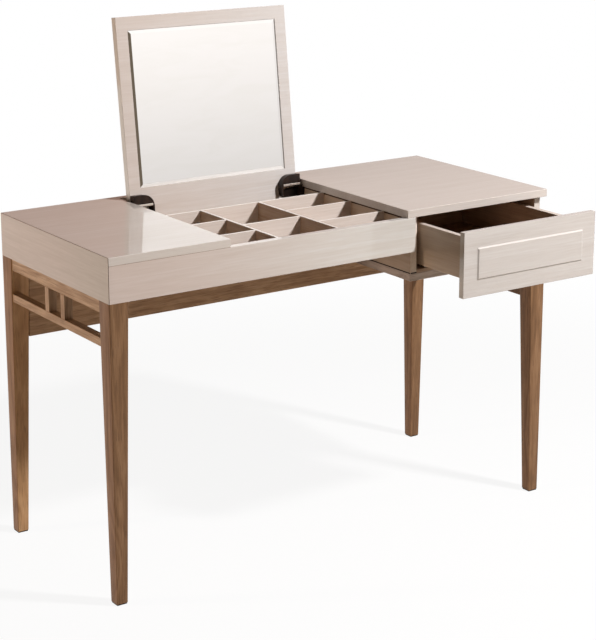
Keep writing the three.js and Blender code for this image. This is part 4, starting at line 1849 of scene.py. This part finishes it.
@dataclass
class Studio:
    """Pale floor, white surround, one main lamp from the right front and a weak warm one at the left end."""

    floor_radius: float = 7.0
    floor_sides: int = 64
    floor_colour: Colour = paint(196, 181, 161)
    floor_white: float = 0.9
    fade_start: float = 1.1
    fade_end: float = 2.6
    ambient: Colour = (0.045, 0.032, 0.02, 1.0)
    panel_colour: Colour = (1.0, 0.965, 0.96, 1.0)
    panel_turn: float = math.radians(45)
    panel_inner: float = 0.95
    panel_outer: float = 0.88
    wall_turn: float = math.radians(34)
    left_wall: Colour = (0.54, 0.34, 0.27, 1.0)
    right_wall: Colour = (0.70, 0.58, 0.53, 1.0)
    strip_colour: Colour = (3.9, 3.72, 3.58, 1.0)
    front_wall: Colour = (0.92, 0.89, 0.87, 1.0)
    flag_turn: float = math.radians(14)
    flag_half: float = math.radians(4.5)
    flag_colour: Colour = (0.15, 0.12, 0.09, 1.0)
    flag_fade: float = 1.5
    level_floor: float = 0.04
    wall_seam: Tuple[float, float] = (-0.09, 0.06)
    front_wall_side: Tuple[float, ...] = (-0.35, 0.0, 1.0, 0.0)
    front_wall_depth: Tuple[float, ...] = (-0.5, -0.25, 1.0, 0.0)
    panel_low: Tuple[float, ...] = (-0.05, 0.12, 0.68, 1.1)
    panel_high: Tuple[float, ...] = (0.3, 0.5, 0.0, 0.54)
    strip_turn: Tuple[float, float] = (0.3, 0.7)
    strip_rise: Tuple[float, float] = (0.62, 0.75)
    flag_depth: Tuple[float, ...] = (-0.5, -0.3, 1.0, 0.0)
    flag_rise: Tuple[float, ...] = (0.3, 0.4, 1.0, 0.0)
    lamps: Sequence[Lamp] = (
        Lamp("main_lamp", (1.51, -2.06, 2.74), (-0.05, 0.0, 0.74), 0.28, 129.0, (1.0, 0.98, 0.98)),
        Lamp("left_lamp", (-3.2, 1.3, 0.60), (-0.58, 0.1, 0.6), 0.3, 53.0, (1.0, 0.82, 0.66)),
    )

    def build(self) -> None:
        """Makes the floor, the surround and the lamps."""
        self._floor()
        self._surround()
        for lamp in self.lamps:
            lamp.hang()

    def _floor(self) -> None:
        """Makes a round floor that turns pure white towards its rim and keeps the table's shadow."""
        shape = bmesh.new()
        bmesh.ops.create_circle(shape, cap_ends=True, segments=self.floor_sides, radius=self.floor_radius)
        floor = placed("studio_floor", plain_mesh(shape, "studio_floor"))
        material = bpy.data.materials.new("studio_floor")
        pad = blank_pad(material)
        here = pad.wire("ShaderNodeTexCoord", output="Object")
        reach = pad.wire("ShaderNodeVectorMath", {"operation": "LENGTH"}, {0: here}, output="Value")
        white = reach.smooth(self.fade_start, self.fade_end, self.floor_white, 1.0)
        matt, pale = (
            pad.wire("ShaderNodeBsdfDiffuse", None, {"Color": colour})
            for colour in (self.floor_colour, WHITE)
        )
        glow = pad.wire("ShaderNodeEmission", None, {"Color": WHITE, "Strength": 1.0})
        shown = pad.wire("ShaderNodeMixShader", None, {0: white, 1: pale, 2: glow})
        seen = self._rays(pad, "Camera", "Glossy", "Transmission")
        surface = pad.wire("ShaderNodeMixShader", None, {0: seen, 1: matt, 2: shown})
        pad.node("ShaderNodeOutputMaterial", None, {"Surface": surface})
        floor.data.materials.append(material)

    @staticmethod
    def _rays(pad: NodePad, *kinds: str) -> Wire:
        """1 for light rays of any of the given kinds, else 0.

        Args:
            pad: Pad of the tree.
            *kinds: Kinds of ray: Camera, Glossy or Transmission.

        Returns:
            The mask.
        """
        path = pad.node("ShaderNodeLightPath")
        mask, *others = (Wire(pad, path.outputs[f"Is {kind} Ray"]) for kind in kinds)
        for other in others:
            mask = mask.at_least(other)
        return mask

    def _walls(self, x: Wire, y: Wire, level: Wire) -> Wire:
        """Colour of the walls that gloss sees: a left, a right and a left front one.

        Args:
            x: Sideways part of the direction.
            y: Its part to the back.
            level: Its length over the ground.

        Returns:
            The colour.
        """
        rightness = (x * math.cos(self.wall_turn) - y * math.sin(self.wall_turn)) / level
        walls = rightness.smooth(*self.wall_seam).between(self.left_wall, self.right_wall)
        left_front = y.smooth(*self.front_wall_depth) * x.smooth(*self.front_wall_side)
        return left_front.between(walls, self.front_wall)

    def _flag(self, x: Wire, y: Wire, z: Wire, level: Wire) -> Wire:
        """1 in the narrow dark flag in front of the table, else 0.

        Args:
            x: Sideways part of the direction.
            y: Its part to the back.
            z: Its upright part.
            level: Its length over the ground.

        Returns:
            The mask.
        """
        across = (x * math.cos(self.flag_turn) + y * math.sin(self.flag_turn)) / level
        inner, outer = (math.sin(half) ** 2 for half in (self.flag_half, self.flag_half * self.flag_fade))
        narrow = (across * across).smooth(inner, outer, 1.0, 0.0)
        return narrow * y.smooth(*self.flag_depth) * z.smooth(*self.flag_rise)

    def _surround(self) -> None:
        """Makes the surround, which is white to the camera and a set of panels and walls to gloss."""
        world = bpy.data.worlds.new("studio_surround")
        bpy.context.scene.world = world
        pad = blank_pad(world)
        x, y, z = pad.split(pad.wire("ShaderNodeTexCoord", output="Generated"))
        level = (1.0 - z * z).at_least(self.level_floor) ** 0.5
        facing = (x * math.sin(self.panel_turn) - y * math.cos(self.panel_turn)) / level
        height = z.smooth(*self.panel_low) + z.smooth(*self.panel_high)
        panel = pad.wire(
            "ShaderNodeVectorMath", {"operation": "SCALE"}, {0: self.panel_colour[:3], "Scale": height}
        )
        mirrored = facing.smooth(self.panel_outer, self.panel_inner).between(self._walls(x, y, level), panel)
        strip = facing.smooth(*self.strip_turn) * z.smooth(*self.strip_rise)
        mirrored = self._flag(x, y, z, level).between(
            strip.between(mirrored, self.strip_colour), self.flag_colour
        )
        camera = self._rays(pad, "Camera", "Transmission")
        glossy = self._rays(pad, "Glossy")
        soft, bright, white = (
            pad.wire("ShaderNodeBackground", None, {"Color": colour, "Strength": 1.0})
            for colour in (self.ambient, mirrored, WHITE)
        )
        lit = pad.wire("ShaderNodeMixShader", None, {0: glossy, 1: soft, 2: bright})
        shown = pad.wire("ShaderNodeMixShader", None, {0: camera, 1: lit, 2: white})
        pad.node("ShaderNodeOutputWorld", None, {"Surface": shown})


@dataclass
class CameraRig:
    """Camera at the left front, above the table, that looks slightly down and has a small upright shift."""

    place: Point = (-2.25420, -3.28320, 1.65825)
    turn_degrees: float = 34.3419
    tilt_degrees: float = 14.2726
    lens: float = 101.3735
    sensor: float = 36.0
    shift_up: float = -0.10

    def stand(self) -> None:
        """Puts the camera in the scene and makes it the scene's own."""
        data = bpy.data.cameras.new("table_camera")
        data.lens = self.lens
        data.sensor_width = self.sensor
        data.shift_y = self.shift_up
        camera = placed("table_camera", data)
        camera.location = self.place
        camera.rotation_euler = Euler(
            (math.radians(90 - self.tilt_degrees), 0.0, -math.radians(self.turn_degrees))
        )
        bpy.context.scene.camera = camera


def main() -> None:
    """Builds the table, the studio and the camera, and reports each piece."""
    logging.basicConfig(level=logging.INFO, format="%(name)s: %(message)s")
    CameraRig().stand()
    shop = Workshop()
    recipes = Recipes()
    for group in (Legs, RailsAndLattices, Carcass, Tray, MirrorLid, LidHinges, DrawerBox, Drawer, Runners):
        group(shop, recipes).build()
    for name in shop.made:
        LOG.info("made %s", name)
    Studio().build()
    bpy.context.scene.view_settings.view_transform = "Standard"


if __name__ == "__main__":
    main()
